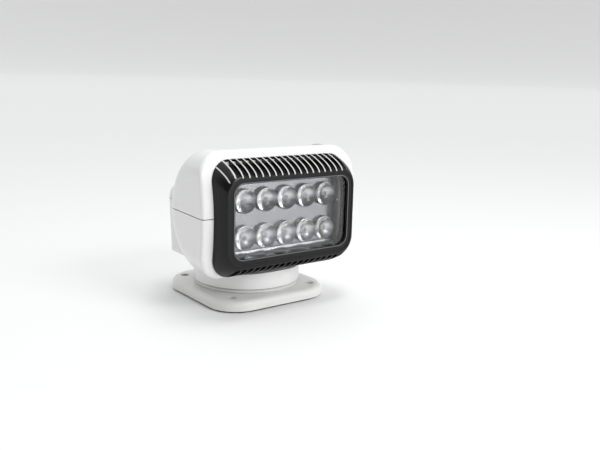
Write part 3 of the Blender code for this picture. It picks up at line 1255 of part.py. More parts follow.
def make_tilt_shaft_parts():
    """Cross shaft, its gear and the two clamps in the cheeks."""
    half = TILT_SHAFT_HALF
    shaft = part("tilt_shaft", rod(TILT_SHAFT_RADIUS, (-half, TILT_Y, TILT_Z), (half, TILT_Y, TILT_Z)), STEEL)
    teeth = gear_outline((TILT_Y, TILT_Z), TILT_GEAR_TEETH, TILT_MODULE, 0.0)
    bore = circle((TILT_Y, TILT_Z), TILT_SHAFT_RADIUS + GAP, SMALL_STEPS)
    low = TILT_GEAR_X - TILT_GEAR_WIDTH / 2
    gear = part("tilt_gear", slab([teeth, bore], low, low + TILT_GEAR_WIDTH, SIDE_VIEW), STEEL)
    clamps = []
    start = CHEEK_INNER_X + HEAD_WALL + GAP
    ring = ring_profile(TILT_SHAFT_RADIUS + GAP, HUB_CLAMP_RADIUS, start, start + HUB_CLAMP_LENGTH)
    for name, side in (("hub_clamp_left", -1), ("hub_clamp_right", 1)):
        clamp = turn_to_x(turned(name, ring, BLACK_ALUMINIUM, SMALL_STEPS, closed=True), TILT_Y, TILT_Z)
        clamp.rotation_euler = (0, math.radians(90) * side, 0)
        clamps.append(clamp)
    return [shaft, gear] + clamps


def main():
    """Build the base, the turret and the head, each moving group under its joint's empty."""
    make_deck_gasket()
    make_base_plate()
    make_ring_parts()
    make_ring_gear()
    make_spindle_parts()
    make_grommet()
    pan = pivot("pan_axis", (0, 0, NECK_BOTTOM))
    tilt = pivot("tilt_axis", (0, TILT_Y, TILT_Z))
    pan_gearbox, pan_motor, pan_pinion = make_pan_drive()
    tilt_gearbox, tilt_motor, tilt_pinion = make_tilt_drive()
    bushes = [make_pan_bush(), make_tilt_bush("tilt_bush_left", -1), make_tilt_bush("tilt_bush_right", 1)]
    turret = make_turret() + bushes + [pan_gearbox, pan_motor, tilt_gearbox, tilt_motor, make_control_board()]
    head = make_shells() + [make_bezel()] + make_window_parts() + make_light_engine() + make_tilt_shaft_parts()
    corners = ("lower_left", "upper_left", "lower_right", "upper_right")
    head += [bezel_screw("bezel_screw_" + name, x, z) for name, (x, z) in zip(corners, bezel_screw_places())]
    hang(turret + [pan_pinion, tilt_pinion, tilt], pan)
    hang(head, tilt)


main()
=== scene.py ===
"""Marine searchlight on its square base: finer mouldings, clear optics, hardware and finishes over the CAD frame.

Sizes are in metres, in the CAD model's frame: +X is the light's right side seen from in front,
-Y is the way it shines and +Z is up.
"""
import logging
import math
from dataclasses import dataclass, field
from enum import Enum
from typing import Callable, Sequence

import bmesh
import bpy
from mathutils import Matrix, Vector


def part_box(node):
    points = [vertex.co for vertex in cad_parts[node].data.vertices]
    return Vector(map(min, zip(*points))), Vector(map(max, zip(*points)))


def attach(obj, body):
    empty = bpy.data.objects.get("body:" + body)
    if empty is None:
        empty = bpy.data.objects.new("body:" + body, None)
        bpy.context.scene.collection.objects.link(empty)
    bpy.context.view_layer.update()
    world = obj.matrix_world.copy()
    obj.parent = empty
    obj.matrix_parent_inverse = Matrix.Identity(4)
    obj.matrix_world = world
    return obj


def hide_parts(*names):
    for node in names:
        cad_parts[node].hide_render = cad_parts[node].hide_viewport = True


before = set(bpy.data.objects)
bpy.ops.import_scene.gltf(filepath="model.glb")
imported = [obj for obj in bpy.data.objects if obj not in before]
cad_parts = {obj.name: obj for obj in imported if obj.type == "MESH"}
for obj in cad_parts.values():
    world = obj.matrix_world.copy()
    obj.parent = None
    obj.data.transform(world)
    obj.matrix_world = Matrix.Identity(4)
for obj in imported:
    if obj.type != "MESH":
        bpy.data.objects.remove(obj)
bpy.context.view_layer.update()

MM = 0.001
GAP = 0.3 * MM
TILT_Y = -45.0 * MM
TILT_Z = 106.5 * MM
SEAM_GAP = 0.9 * MM
SMOOTH_ANGLE = math.radians(32.0)

ORIGIN = Vector((0.0, 0.0, 0.0))
UP = Vector((0.0, 0.0, 1.0))
RIGHT = Vector((1.0, 0.0, 0.0))
AHEAD = Vector((0.0, -1.0, 0.0))
TILT_CENTRE = Vector((0.0, TILT_Y, TILT_Z))

# Closing screws, which are driven from underneath
SCREW_SEAT_Z = TILT_Z - 7.0 * MM
WELL_RADIUS = 3.8 * MM

# Window in the bezel, and the rows of optics behind it
WINDOW_HALF = 73.0 * MM
WINDOW_LOW = 65.0 * MM
WINDOW_HIGH = 142.0 * MM
WINDOW_CORNER = 11.0 * MM
OPTIC_MIDDLE = 102.6 * MM
OPTIC_ROW_PITCH = 38.4 * MM
OPTIC_RADIUS = 12.8 * MM

Shape = bmesh.types.BMesh
Edge = bmesh.types.BMEdge
Edges = list[Edge]
Point = tuple[float, float]
Corner = tuple[float, float, float]
Place = Callable[[float, float], Vector]
Colour = tuple[float, float, float]
Node = bpy.types.Node
Socket = bpy.types.NodeSocket
Inputs = dict[str | int, object]
log = logging.getLogger("searchlight")


class Carve(Enum):
    """How one solid works on another."""

    CUT = "DIFFERENCE"
    JOIN = "UNION"
    MEET = "INTERSECT"


@dataclass(frozen=True)
class Bow:
    """Curve along which the lamp head's front falls back above and below the tilt axis."""

    high: float = 13.2 * MM
    low: float = 7.0 * MM
    reach: float = 66.0 * MM

    def fall(self, z: float) -> float:
        """How far the front falls back.

        Args:
            z: Height.

        Returns:
            The distance along Y.
        """
        share = (z - TILT_Z) / self.reach
        return (self.high if share > 0 else self.low) * share ** 2


FRONT_BOW = Bow()
TOP_BOW = Bow(low=0.0)


# Shapes


def side_view(x: float) -> Place:
    """Plane of a side view, whose outlines run along Y and Z.

    Args:
        x: Where the plane stands along X.
    """
    return lambda u, v: Vector((x, u, v))


def front_view(y: float) -> Place:
    """Plane of a front view, whose outlines run along X and Z.

    Args:
        y: Where the plane stands along Y.
    """
    return lambda u, v: Vector((u, y, v))


def top_view(z: float) -> Place:
    """Plane of a top view, whose outlines run along X and Y.

    Args:
        z: Where the plane stands along Z.
    """
    return lambda u, v: Vector((u, v, z))


def corners_between(left: float, right: float, low: float, high: float, radius: float = 0.0) -> list[Corner]:
    """Corners of a rounded rectangle.

    Args:
        left: Its side at the lesser first coordinate.
        right: Its side at the greater one.
        low: Its lower side.
        high: Its upper side.
        radius: Radius of all four corners.

    Returns:
        The corners, each with its radius.
    """
    return [(left, low, radius), (right, low, radius), (right, high, radius), (left, high, radius)]


def box_corners(half_width: float, low: float, high: float, radius: float = 0.0) -> list[Corner]:
    """Corners of a rounded rectangle that is even about zero."""
    return corners_between(-half_width, half_width, low, high, radius)


def rounded_loop(shape: Shape, corners: Sequence[Corner], place: Place, steps: int) -> Edges:
    """Closed loop of edges with rounded corners.

    Args:
        shape: Mesh that the loop is added to.
        corners: Each corner's two coordinates and radius.
        place: Plane that the corners stand in.
        steps: Edges in each rounded corner.

    Returns:
        The loop's edges.
    """
    before = set(shape.edges)
    points = [Vector(corner[:2]) for corner in corners]
    verts = [shape.verts.new(place(*point)) for point in points]
    shape.faces.new(verts)
    for index, vert in enumerate(verts):
        radius = corners[index][2]
        if radius <= 0:
            continue
        back = points[index - 1] - points[index]
        ahead = points[(index + 1) % len(points)] - points[index]
        reach = radius / math.tan(back.angle(ahead) / 2)
        bmesh.ops.bevel(shape, geom=[vert], offset=reach, offset_type="OFFSET", segments=steps,
                        profile=0.5, affect="VERTICES", clamp_overlap=False, material=-1)
    edges = [edge for edge in shape.edges if edge not in before]
    faces = list({face for edge in edges for face in edge.link_faces})
    bmesh.ops.delete(shape, geom=faces, context="FACES_ONLY")
    return edges


def skin(shape: Shape, loops: Sequence[Edges]) -> Shape:
    """Closed skin over loops of equal count, in order.

    Args:
        shape: Mesh that holds the loops.
        loops: Edges of each loop.

    Returns:
        The same mesh.
    """
    for near, far in zip(loops, loops[1:]):
        bmesh.ops.bridge_loops(shape, edges=near + far)
    for end in (loops[0], loops[-1]):
        bmesh.ops.contextual_create(shape, geom=end)
    bmesh.ops.recalc_face_normals(shape, faces=shape.faces)
    return shape


def slab(corners: Sequence[Corner], near: Place, far: Place, steps: int = 10) -> Shape:
    """Flat plate with rounded corners, between two planes.

    Args:
        corners: Its outline.
        near: Plane of one face.
        far: Plane of the other face.
        steps: Edges in each rounded corner.

    Returns:
        A closed mesh.
    """
    shape = bmesh.new()
    return skin(shape, [rounded_loop(shape, corners, plane, steps) for plane in (near, far)])


def laid(shape: Shape, origin: Vector, axis: Vector) -> Shape:
    """Shape made upright at the origin, turned to an axis and moved to its place."""
    turn = UP.rotation_difference(axis).to_matrix().to_4x4()
    bmesh.ops.transform(shape, matrix=Matrix.Translation(origin) @ turn, verts=shape.verts)
    return shape


def turned(profile: Sequence[Point], steps: int, origin: Vector = ORIGIN, axis: Vector = UP) -> Shape:
    """Solid of revolution.

    Args:
        profile: Radius and height of each point, from one end of the axis to the other, or a closed ring.
        steps: Divisions of the full turn.
        origin: Where height zero lies.
        axis: Direction of the axis.

    Returns:
        A closed mesh.
    """
    shape = bmesh.new()
    verts = [shape.verts.new((radius, 0.0, height)) for radius, height in profile]
    edges = [shape.edges.new(pair) for pair in zip(verts, verts[1:])]
    if profile[0][0] > 0 and profile[-1][0] > 0:
        edges.append(shape.edges.new((verts[-1], verts[0])))
    bmesh.ops.spin(shape, geom=verts + edges, cent=(0, 0, 0), axis=(0, 0, 1), angle=math.tau, steps=steps,
                   use_merge=True)
    bmesh.ops.remove_doubles(shape, verts=shape.verts, dist=0.001 * MM)
    bmesh.ops.recalc_face_normals(shape, faces=shape.faces)
    return laid(shape, origin, axis)


def rod(radius: float, low: float, high: float, steps: int, origin: Vector = ORIGIN,
        axis: Vector = UP) -> Shape:
    """Plain round solid to cut a bore with.

    Args:
        radius: Its radius.
        low: Its lower end.
        high: Its upper end.
        steps: Divisions of the full turn.
        origin: Where height zero lies.
        axis: Direction of the axis.

    Returns:
        A closed mesh.
    """
    return turned([(0.0, high), (radius, high), (radius, low), (0.0, low)], steps, origin, axis)


def arc_points(centre: Point, radius: Point, start: float, end: float, steps: int) -> list[Point]:
    """Points of an elliptic arc for a profile.

    Args:
        centre: Its centre.
        radius: Its two half axes.
        start: First angle in degrees.
        end: Last angle in degrees.
        steps: Divisions of the arc.

    Returns:
        The points, both ends with them.
    """
    angles = [math.radians(start + (end - start) * step / steps) for step in range(steps + 1)]
    return [(centre[0] + radius[0] * math.cos(a), centre[1] + radius[1] * math.sin(a)) for a in angles]


def joined(shapes: Sequence[Shape]) -> Shape:
    """One mesh that holds several, which are used up.

    Args:
        shapes: The meshes.

    Returns:
        The new mesh.
    """
    whole = bmesh.new()
    for shape in shapes:
        mesh = bpy.data.meshes.new("piece")
        shape.to_mesh(mesh)
        shape.free()
        whole.from_mesh(mesh)
        bpy.data.meshes.remove(mesh)
    return whole


def carved(shape: Shape, tool: Shape, way: Carve = Carve.CUT, keep_tool: bool = False) -> Shape:
    """Result of an exact Boolean between two meshes.

    Args:
        shape: Mesh that is worked on, which is used up.
        tool: Mesh that works on it.
        way: Whether the tool is cut away, joined on or met.
        keep_tool: Whether the tool is needed again.

    Returns:
        The new mesh.
    """
    things = []
    for source in (shape, tool):
        mesh = bpy.data.meshes.new("carving")
        source.to_mesh(mesh)
        thing = bpy.data.objects.new("carving", mesh)
        bpy.context.scene.collection.objects.link(thing)
        things.append(thing)
    boolean = things[0].modifiers.new("carve", "BOOLEAN")
    boolean.operation = way.value
    boolean.solver = "EXACT"
    boolean.object = things[1]
    graph = bpy.context.evaluated_depsgraph_get()
    made = bpy.data.meshes.new_from_object(things[0].evaluated_get(graph))
    result = bmesh.new()
    result.from_mesh(made)
    bpy.data.meshes.remove(made)
    for thing in things:
        mesh = thing.data
        bpy.data.objects.remove(thing)
        bpy.data.meshes.remove(mesh)
    shape.free()
    if not keep_tool:
        tool.free()
    bmesh.ops.remove_doubles(result, verts=result.verts, dist=0.002 * MM)
    bmesh.ops.dissolve_degenerate(result, dist=0.002 * MM, edges=result.edges)
    return result


def halved(shape: Shape, point: Vector, keep: Vector) -> Shape:
    """Closed mesh cut by a plane, with one side kept.

    Args:
        shape: The mesh.
        point: A point of the plane.
        keep: Direction of the side that stays.

    Returns:
        The same mesh.
    """
    geometry = list(shape.verts) + list(shape.edges) + list(shape.faces)
    cut = bmesh.ops.bisect_plane(shape, geom=geometry, plane_co=point, plane_no=keep, clear_inner=True,
                                 dist=0.0001 * MM)["geom_cut"]
    edges = [item for item in cut if isinstance(item, Edge)]
    bmesh.ops.edgeloop_fill(shape, edges=edges)
    bmesh.ops.recalc_face_normals(shape, faces=shape.faces)
    return shape


def rounded(shape: Shape, radius: float, steps: int,
            chosen: Callable[[Edge], bool]) -> Shape:
    """Edges that pass a test, rounded.

    Args:
        shape: The mesh.
        radius: Radius of the rounding.
        steps: Divisions of the rounding.
        chosen: The test of an edge.

    Returns:
        The same mesh.
    """
    edges = [edge for edge in shape.edges if chosen(edge)]
    bmesh.ops.bevel(shape, geom=edges, offset=radius, offset_type="OFFSET", segments=steps, profile=0.5,
                    affect="EDGES", clamp_overlap=True, material=-1)
    return shape


def banded(shape: Shape, low: float, high: float, pitch: float) -> Shape:
    """Shape split into level bands, so that it can be bent.

    Args:
        shape: The mesh.
        low: Height of the first cut.
        high: Height that the cuts stay under.
        pitch: Height of a band.

    Returns:
        The same mesh.
    """
    for step in range(math.ceil((high - low) / pitch)):
        geometry = list(shape.verts) + list(shape.edges) + list(shape.faces)
        bmesh.ops.bisect_plane(shape, geom=geometry, plane_co=(0, 0, low + step * pitch), plane_no=(0, 0, 1),
                               dist=0.25 * MM)
    return shape


def bowed(shape: Shape, limit: float, bow: Bow) -> Shape:
    """Shape whose front part is moved back along a bow.

    Args:
        shape: The mesh.
        limit: Depth that the moved part lies in front of.
        bow: The curve.

    Returns:
        The same mesh.
    """
    banded(shape, TILT_Z - 64.6 * MM, TILT_Z + bow.reach, 3.8 * MM)
    moved = [vert for vert in shape.verts if vert.co.y < limit]
    for vert in moved:
        vert.co.y += bow.fall(vert.co.z)
    bmesh.ops.triangulate(shape, faces=list({face for vert in moved for face in vert.link_faces}))
    bmesh.ops.recalc_face_normals(shape, faces=shape.faces)
    return shape


def sharp(edge: Edge) -> bool:
    """Whether an edge is a corner between two flat sides."""
    return len(edge.link_faces) == 2 and edge.calc_face_angle(0.0) > math.radians(40.0)


def even_normals(mesh: bpy.types.Mesh) -> None:
    """Give flat sides flat shading and roundings smooth shading.

    Args:
        mesh: Mesh whose corner normals are set, each weighted by the area of the faces round it.
    """
    shape = bmesh.new()
    shape.from_mesh(mesh)
    shape.normal_update()
    limit = math.cos(SMOOTH_ANGLE)
    normals = []
    areas = [face.calc_area() for face in shape.faces]
    for face in shape.faces:
        for loop in face.loops:
            total = Vector((0.0, 0.0, 0.0))
            for other in loop.vert.link_faces:
                if other.normal.dot(face.normal) > limit:
                    total += other.normal * areas[other.index]
            normals.append(total.normalized() if total.length > 0 else face.normal.copy())
    shape.free()
    mesh.shade_smooth()
    mesh.normals_split_custom_set(normals)

# Finishes


class Tree:
    """Node tree that is filled by socket name."""

    def __init__(self, tree: bpy.types.NodeTree) -> None:
        """Start on a material's, world's or group's tree."""
        self.tree = tree

    def link(self, source: Socket, target: Socket) -> None:
        """Link one socket to another."""
        self.tree.links.new(source, target)

    def add(self, kind: str, inputs: Inputs | None = None, **settings: object) -> Node:
        """Add a node.

        Args:
            kind: Its type.
            inputs: Value or source socket of each input, by name or number.
            settings: Its own properties.

        Returns:
            The node.
        """
        node = self.tree.nodes.new(kind)
        for name, value in settings.items():
            setattr(node, name, value)
        for name, value in (inputs or {}).items():
            if isinstance(value, Socket):
                self.link(value, node.inputs[name])
            else:
                node.inputs[name].default_value = value
        return node

    def place(self) -> Socket:
        """Place on the surface, in the object's own coordinates."""
        return self.add("ShaderNodeTexCoord").outputs["Object"]

    def math(self, operation: str, *values: object) -> Socket:
        """Work on values or their sockets, in order."""
        return self.add("ShaderNodeMath", dict(enumerate(values)), operation=operation).outputs[0]

    def vector(self, operation: str, *values: object) -> Socket:
        """Work on vectors or their sockets, in order."""
        return self.add("ShaderNodeVectorMath", dict(enumerate(values)), operation=operation).outputs[0]

    def length(self, vector: Socket) -> Socket:
        """Length of a vector."""
        return self.add("ShaderNodeVectorMath", {0: vector}, operation="LENGTH").outputs["Value"]

    def ramp(self, source: Socket, low: float, high: float, floor: float = 0.0, ceiling: float = 1.0) -> Socket:
        """Stretch a value from one range to another, clamped.

        Args:
            source: The value.
            low: Value that becomes the floor.
            high: Value that becomes the ceiling.
            floor: Least result.
            ceiling: Greatest result.

        Returns:
            The result's socket.
        """
        return self.add("ShaderNodeMapRange", {"Value": source, "From Min": low, "From Max": high,
                                               "To Min": floor, "To Max": ceiling}).outputs["Result"]

    def mix(self, factor: Socket, first: Colour | Socket, second: Colour | Socket) -> Socket:
        """Mix two colours.

        Args:
            factor: Share of the second.
            first: Colour or its socket.
            second: Colour or its socket.

        Returns:
            The mixed colour's socket.
        """
        first, second = (value if isinstance(value, Socket) else (*value, 1.0) for value in (first, second))
        return self.add("ShaderNodeMix", {0: factor, 6: first, 7: second}, data_type="RGBA").outputs[2]

    def noise(self, place: Socket, scale: object, detail: float, roughness: float = 0.5) -> Socket:
        """Cloudy noise.

        Args:
            place: Where it is read.
            scale: Its scale or the scale's socket.
            detail: Its octaves.
            roughness: Strength of the finer ones.

        Returns:
            The noise's socket, about 0.5.
        """
        return self.add("ShaderNodeTexNoise", {"Vector": place, "Scale": scale, "Detail": detail,
                                               "Roughness": roughness}).outputs[0]

    def waver(self, noise: Socket, amount: Socket, middle: object) -> Socket:
        """Value that noise moves up and down.

        Args:
            noise: The noise.
            amount: How far it moves the value.
            middle: The value without it.

        Returns:
            The moved value's socket.
        """
        return self.math("MULTIPLY_ADD", self.math("SUBTRACT", noise, 0.5), amount, middle)

    def group(self, group: bpy.types.NodeTree, inputs: Inputs) -> Node:
        """Add a group with values for its inputs."""
        return self.add("ShaderNodeGroup", inputs, node_tree=group)


COLOUR = "NodeSocketColor"
VALUE = "NodeSocketFloat"
BLANK = (0.5, 0.5, 0.5, 1.0)


class Effects:
    """Surface effects that several finishes share, each made once."""

    def __init__(self) -> None:
        """Build the groups."""
        self.grain = self.make_grain()
        self.wear = self.make_wear()
        self.brush = self.make_brush()

    def start(self, name: str, inputs: Sequence[tuple[str, str, object]], outputs: Sequence[tuple[str, str]]
              ) -> tuple[Tree, Node, Node]:
        """New group with its sockets.

        Args:
            name: Its name.
            inputs: Name, socket type and default of each input.
            outputs: Name and socket type of each output.

        Returns:
            The group's tree, and its input and output nodes.
        """
        group = bpy.data.node_groups.new(name, "ShaderNodeTree")
        for label, kind, value in inputs:
            group.interface.new_socket(label, in_out="INPUT", socket_type=kind).default_value = value
        for label, kind in outputs:
            group.interface.new_socket(label, in_out="OUTPUT", socket_type=kind)
        tree = Tree(group)
        return tree, tree.add("NodeGroupInput"), tree.add("NodeGroupOutput")

    def make_grain(self) -> bpy.types.NodeTree:
        """Cloudy colour, uneven gloss and a fine surface grain.

        Returns:
            The group.
        """
        tree, given, result = self.start(
            "surface_grain",
            [("Colour", COLOUR, BLANK), ("Cloud", VALUE, 0.05), ("Cloud Scale", VALUE, 30.0),
             ("Roughness", VALUE, 0.4), ("Unevenness", VALUE, 0.08), ("Grain Scale", VALUE, 1500.0)],
            [("Colour", COLOUR), ("Roughness", VALUE), ("Height", VALUE)])
        place = tree.place()
        cloud = tree.noise(place, given.outputs["Cloud Scale"], 4.0, 0.6)
        smear = tree.noise(place, 90.0, 5.0, 0.65)
        fine = tree.noise(place, given.outputs["Grain Scale"], 3.0, 0.55)
        swing = tree.waver(cloud, given.outputs["Cloud"], 1.0)
        scaled = tree.add("ShaderNodeVectorMath", {0: given.outputs["Colour"], 3: swing}, operation="SCALE")
        tree.link(scaled.outputs[0], result.inputs["Colour"])
        tree.link(tree.waver(smear, given.outputs["Unevenness"], given.outputs["Roughness"]),
                  result.inputs["Roughness"])
        tree.link(tree.math("MULTIPLY_ADD", fine, 0.4, tree.noise(place, 320.0, 1.0)), result.inputs["Height"])
        return tree.tree

    def make_wear(self) -> bpy.types.NodeTree:
        """Mask of the edges that hands and tools rub, broken up.

        Returns:
            The group.
        """
        tree, given, result = self.start(
            "edge_wear", [("Width", VALUE, 0.6 * MM), ("Amount", VALUE, 0.5)], [("Mask", VALUE)])
        bevel = tree.add("ShaderNodeBevel", {"Radius": given.outputs["Width"]}, samples=4).outputs[0]
        flat = tree.add("ShaderNodeNewGeometry").outputs["Normal"]
        turn = tree.add("ShaderNodeVectorMath", {0: bevel, 1: flat}, operation="DOT_PRODUCT").outputs["Value"]
        broken = tree.ramp(tree.noise(tree.place(), 240.0, 6.0, 0.7), 0.42, 0.62, 0.15, 1.0)
        both = tree.math("MULTIPLY", tree.ramp(turn, 0.995, 0.90), broken)
        mask = tree.add("ShaderNodeMath", {0: both, 1: given.outputs["Amount"]}, operation="MULTIPLY",
                        use_clamp=True)
        tree.link(mask.outputs[0], result.inputs["Mask"])
        return tree.tree

    def make_brush(self) -> bpy.types.NodeTree:
        """Fine scratches that run round or along a machined piece.

        Returns:
            The group.
        """
        tree, given, result = self.start(
            "machining_marks",
            [("Stretch", "NodeSocketVector", (1.0, 1.0, 1.0)), ("Roughness", VALUE, 0.3), ("Spread", VALUE, 0.15)],
            [("Roughness", VALUE), ("Height", VALUE)])
        lines = tree.noise(tree.vector("MULTIPLY", tree.place(), given.outputs["Stretch"]), 1.0, 4.0, 0.7)
        tree.link(tree.waver(lines, given.outputs["Spread"], given.outputs["Roughness"]),
                  result.inputs["Roughness"])
        tree.link(lines, result.inputs["Height"])
        return tree.tree


@dataclass(frozen=True)
class Finish:
    """What every finish has, and the steps that they share."""

    name: str
    colour: Colour
    roughness: float

    def build(self, effects: Effects) -> bpy.types.Material:
        """Make the material.

        Args:
            effects: Shared surface effects.

        Returns:
            The material.
        """
        material = bpy.data.materials.new(self.name)
        material.use_nodes = True
        self.paint(Tree(material.node_tree), material.node_tree.nodes["Principled BSDF"], effects)
        return material

    def paint(self, tree: Tree, shader: Node, effects: Effects) -> None:
        """Fill the material's tree, each finish in its own way."""
        raise NotImplementedError

    def grain(self, tree: Tree, effects: Effects, cloud: float, cloud_scale: float, unevenness: float,
              grain_scale: float) -> Node:
        """Add the shared grain.

        Args:
            tree: The material's tree.
            effects: Shared surface effects.
            cloud: How far the colour varies.
            cloud_scale: Scale of that.
            unevenness: How far the gloss varies.
            grain_scale: Scale of the surface's grain.

        Returns:
            The group's node.
        """
        return tree.group(effects.grain, {"Colour": (*self.colour, 1.0), "Cloud": cloud, "Cloud Scale": cloud_scale,
                                          "Roughness": self.roughness, "Unevenness": unevenness,
                                          "Grain Scale": grain_scale})

    def rub(self, tree: Tree, effects: Effects, colour: Socket, width: float, amount: float, worn: Colour) -> Socket:
        """Colour whose edges are rubbed.

        Args:
            tree: The material's tree.
            effects: Shared surface effects.
            colour: The colour before.
            width: Width of the rubbed edges.
            amount: Strength of the wear.
            worn: Colour of the rubbed edges.

        Returns:
            The colour's socket.
        """
        edges = tree.group(effects.wear, {"Width": width, "Amount": amount})
        return tree.mix(edges.outputs["Mask"], colour, worn)

    def connect(self, tree: Tree, shader: Node, colour: Socket, gloss: Node, depth: float, strength: float) -> None:
        """Lead a colour, a group's roughness and its bump into the shader.

        Args:
            tree: The material's tree.
            shader: The shader.
            colour: The colour.
            gloss: Group that gives roughness and height.
            depth: Depth of the relief in metres.
            strength: Share of it that shows.
        """
        tree.link(colour, shader.inputs["Base Color"])
        tree.link(gloss.outputs["Roughness"], shader.inputs["Roughness"])
        self.bump(tree, shader, gloss.outputs["Height"], depth, strength)

    def bump(self, tree: Tree, shader: Node, height: Socket, depth: float, strength: float) -> None:
        """Bump the shader's normal by a height, to a depth in metres and a strength."""
        bump = tree.add("ShaderNodeBump", {"Strength": strength, "Distance": depth, "Height": height})
        tree.link(bump.outputs[0], shader.inputs["Normal"])


@dataclass(frozen=True)
class Moulding(Finish):
    """Moulded plastic, rubber or coated metal with grain and rubbed edges."""

    cloud: float = 0.05
    cloud_scale: float = 30.0
    unevenness: float = 0.1
    grain_scale: float = 1500.0
    relief: float = 0.02 * MM
    relief_strength: float = 0.3
    worn_colour: Colour = (0.9, 0.9, 0.9)
    wear: float = 0.3
    wear_width: float = 0.5 * MM
    metallic: float = 0.0
    coat: float = 0.0
    coat_roughness: float = 0.08
    scatter: float = 0.0

    def paint(self, tree: Tree, shader: Node, effects: Effects) -> None:
        """Fill the material's tree.

        Args:
            tree: The tree.
            shader: The shader.
            effects: Shared surface effects.
        """
        grain = self.grain(tree, effects, self.cloud, self.cloud_scale, self.unevenness, self.grain_scale)
        colour = self.rub(tree, effects, grain.outputs["Colour"], self.wear_width, self.wear, self.worn_colour)
        self.connect(tree, shader, colour, grain, self.relief, self.relief_strength)
        shader.inputs["Metallic"].default_value = self.metallic
        shader.inputs["Coat Weight"].default_value = self.coat
        shader.inputs["Coat Roughness"].default_value = self.coat_roughness
        shader.inputs["Subsurface Weight"].default_value = self.scatter
        shader.inputs["Subsurface Scale"].default_value = 2 * MM


@dataclass(frozen=True)
class RibbedCasting(Finish):
    """Black enamelled casting with rubbed edges that a painted sheen lightens, and painted highlights on its upper rib
    crests, on a crease at its left corner and on the bead round the window.
    """

    specular: float
    edge_wear_and_sheen_colour: Colour
    edge_width: float
    # Colour of the painted highlight on the upper rib crests.
    crest_highlight_colour: Colour
    crest_width: float
    pitch: float
    reach: float
    foot: float
    bead_highlight_colour: Colour
    mitre_lean: float
    mitre_place: float

    def bead(self, tree: Tree) -> Socket:
        """Mask of a painted highlight on the bead round the window.

        Args:
            tree: The material's tree.

        Returns:
            The mask.
        """
        corner = WINDOW_CORNER
        middle = (WINDOW_LOW + WINDOW_HIGH) / 2
        inner = (WINDOW_HALF - corner, 0.2, (WINDOW_HIGH - WINDOW_LOW) / 2 - corner)
        folded = tree.vector("ABSOLUTE", tree.vector("SUBTRACT", tree.place(), (0.0, 0.0, middle)))
        outside = tree.vector("MAXIMUM", tree.vector("SUBTRACT", folded, inner), (0.0, 0.0, 0.0))
        length = tree.length(outside)
        return tree.math("MULTIPLY", tree.ramp(length, corner + 0.25 * MM, corner + 0.5 * MM),
                         tree.ramp(length, corner + 1.5 * MM, corner + 1.2 * MM))

    def crest(self, tree: Tree) -> Socket:
        """Mask of the painted highlight on the rib crests above the rim; the lower crests, which face down, get none.

        Args:
            tree: The material's tree.

        Returns:
            The mask.
        """
        parts = tree.add("ShaderNodeSeparateXYZ", {0: tree.place()})
        near = tree.math("PINGPONG", tree.math("ABSOLUTE", parts.outputs["X"]), self.pitch / 2)
        crest = tree.ramp(near, self.crest_width / 2 + 0.15 * MM, self.crest_width / 2 - 0.15 * MM)
        inside = tree.ramp(parts.outputs["X"], self.reach - 0.5 * MM, self.reach - 1 * MM)
        started = tree.ramp(parts.outputs["X"], -self.reach - 1.5 * MM, -self.reach - 1 * MM)
        # Only the upper, lit crests get the painted highlight.
        above = tree.ramp(parts.outputs["Z"], self.foot, self.foot + 1 * MM)
        return tree.math("MULTIPLY", tree.math("MULTIPLY", crest, tree.math("MULTIPLY", inside, started)), above)

    def mitre(self, tree: Tree) -> Socket:
        """Mask of a painted highlight along the crease where the top slope meets the left one; the right side gets
        none.

        Args:
            tree: The material's tree.

        Returns:
            The mask.
        """
        parts = tree.add("ShaderNodeSeparateXYZ", {0: tree.place()})
        # Painted highlight on the left corner only.
        lean = tree.math("MULTIPLY_ADD", parts.outputs["Z"], self.mitre_lean, self.mitre_place)
        near = tree.math("ABSOLUTE", tree.math("ADD", parts.outputs["X"], lean))
        above = tree.ramp(parts.outputs["Z"], WINDOW_HIGH + 1.5 * MM, WINDOW_HIGH + 3 * MM)
        below = tree.ramp(parts.outputs["Z"], WINDOW_HIGH + 17 * MM, WINDOW_HIGH + 15 * MM)
        return tree.math("MULTIPLY", tree.ramp(near, 0.75 * MM, 0.4 * MM), tree.math("MULTIPLY", above, below))

    def paint(self, tree: Tree, shader: Node, effects: Effects) -> None:
        """Fill the material's tree.

        Args:
            tree: The tree.
            shader: The shader.
            effects: Shared surface effects.
        """
        grain = self.grain(tree, effects, 0.4, 30.0, 0.1, 1100.0)
        # Rubbed paint on the edges, lightened beyond real wear as a painted edge sheen.
        colour = self.rub(tree, effects, grain.outputs["Colour"], self.edge_width, 0.8, self.edge_wear_and_sheen_colour)
        # Painted highlight on the bead round the window.
        beaded = tree.mix(self.bead(tree), colour, self.bead_highlight_colour)
        # Painted highlight on the upper crests and on the left mitre crease.
        crested = tree.mix(tree.math("MAXIMUM", self.crest(tree), self.mitre(tree)), beaded, self.crest_highlight_colour)
        self.connect(tree, shader, crested, grain, 0.04 * MM, 0.3)
        shader.inputs["Specular IOR Level"].default_value = self.specular


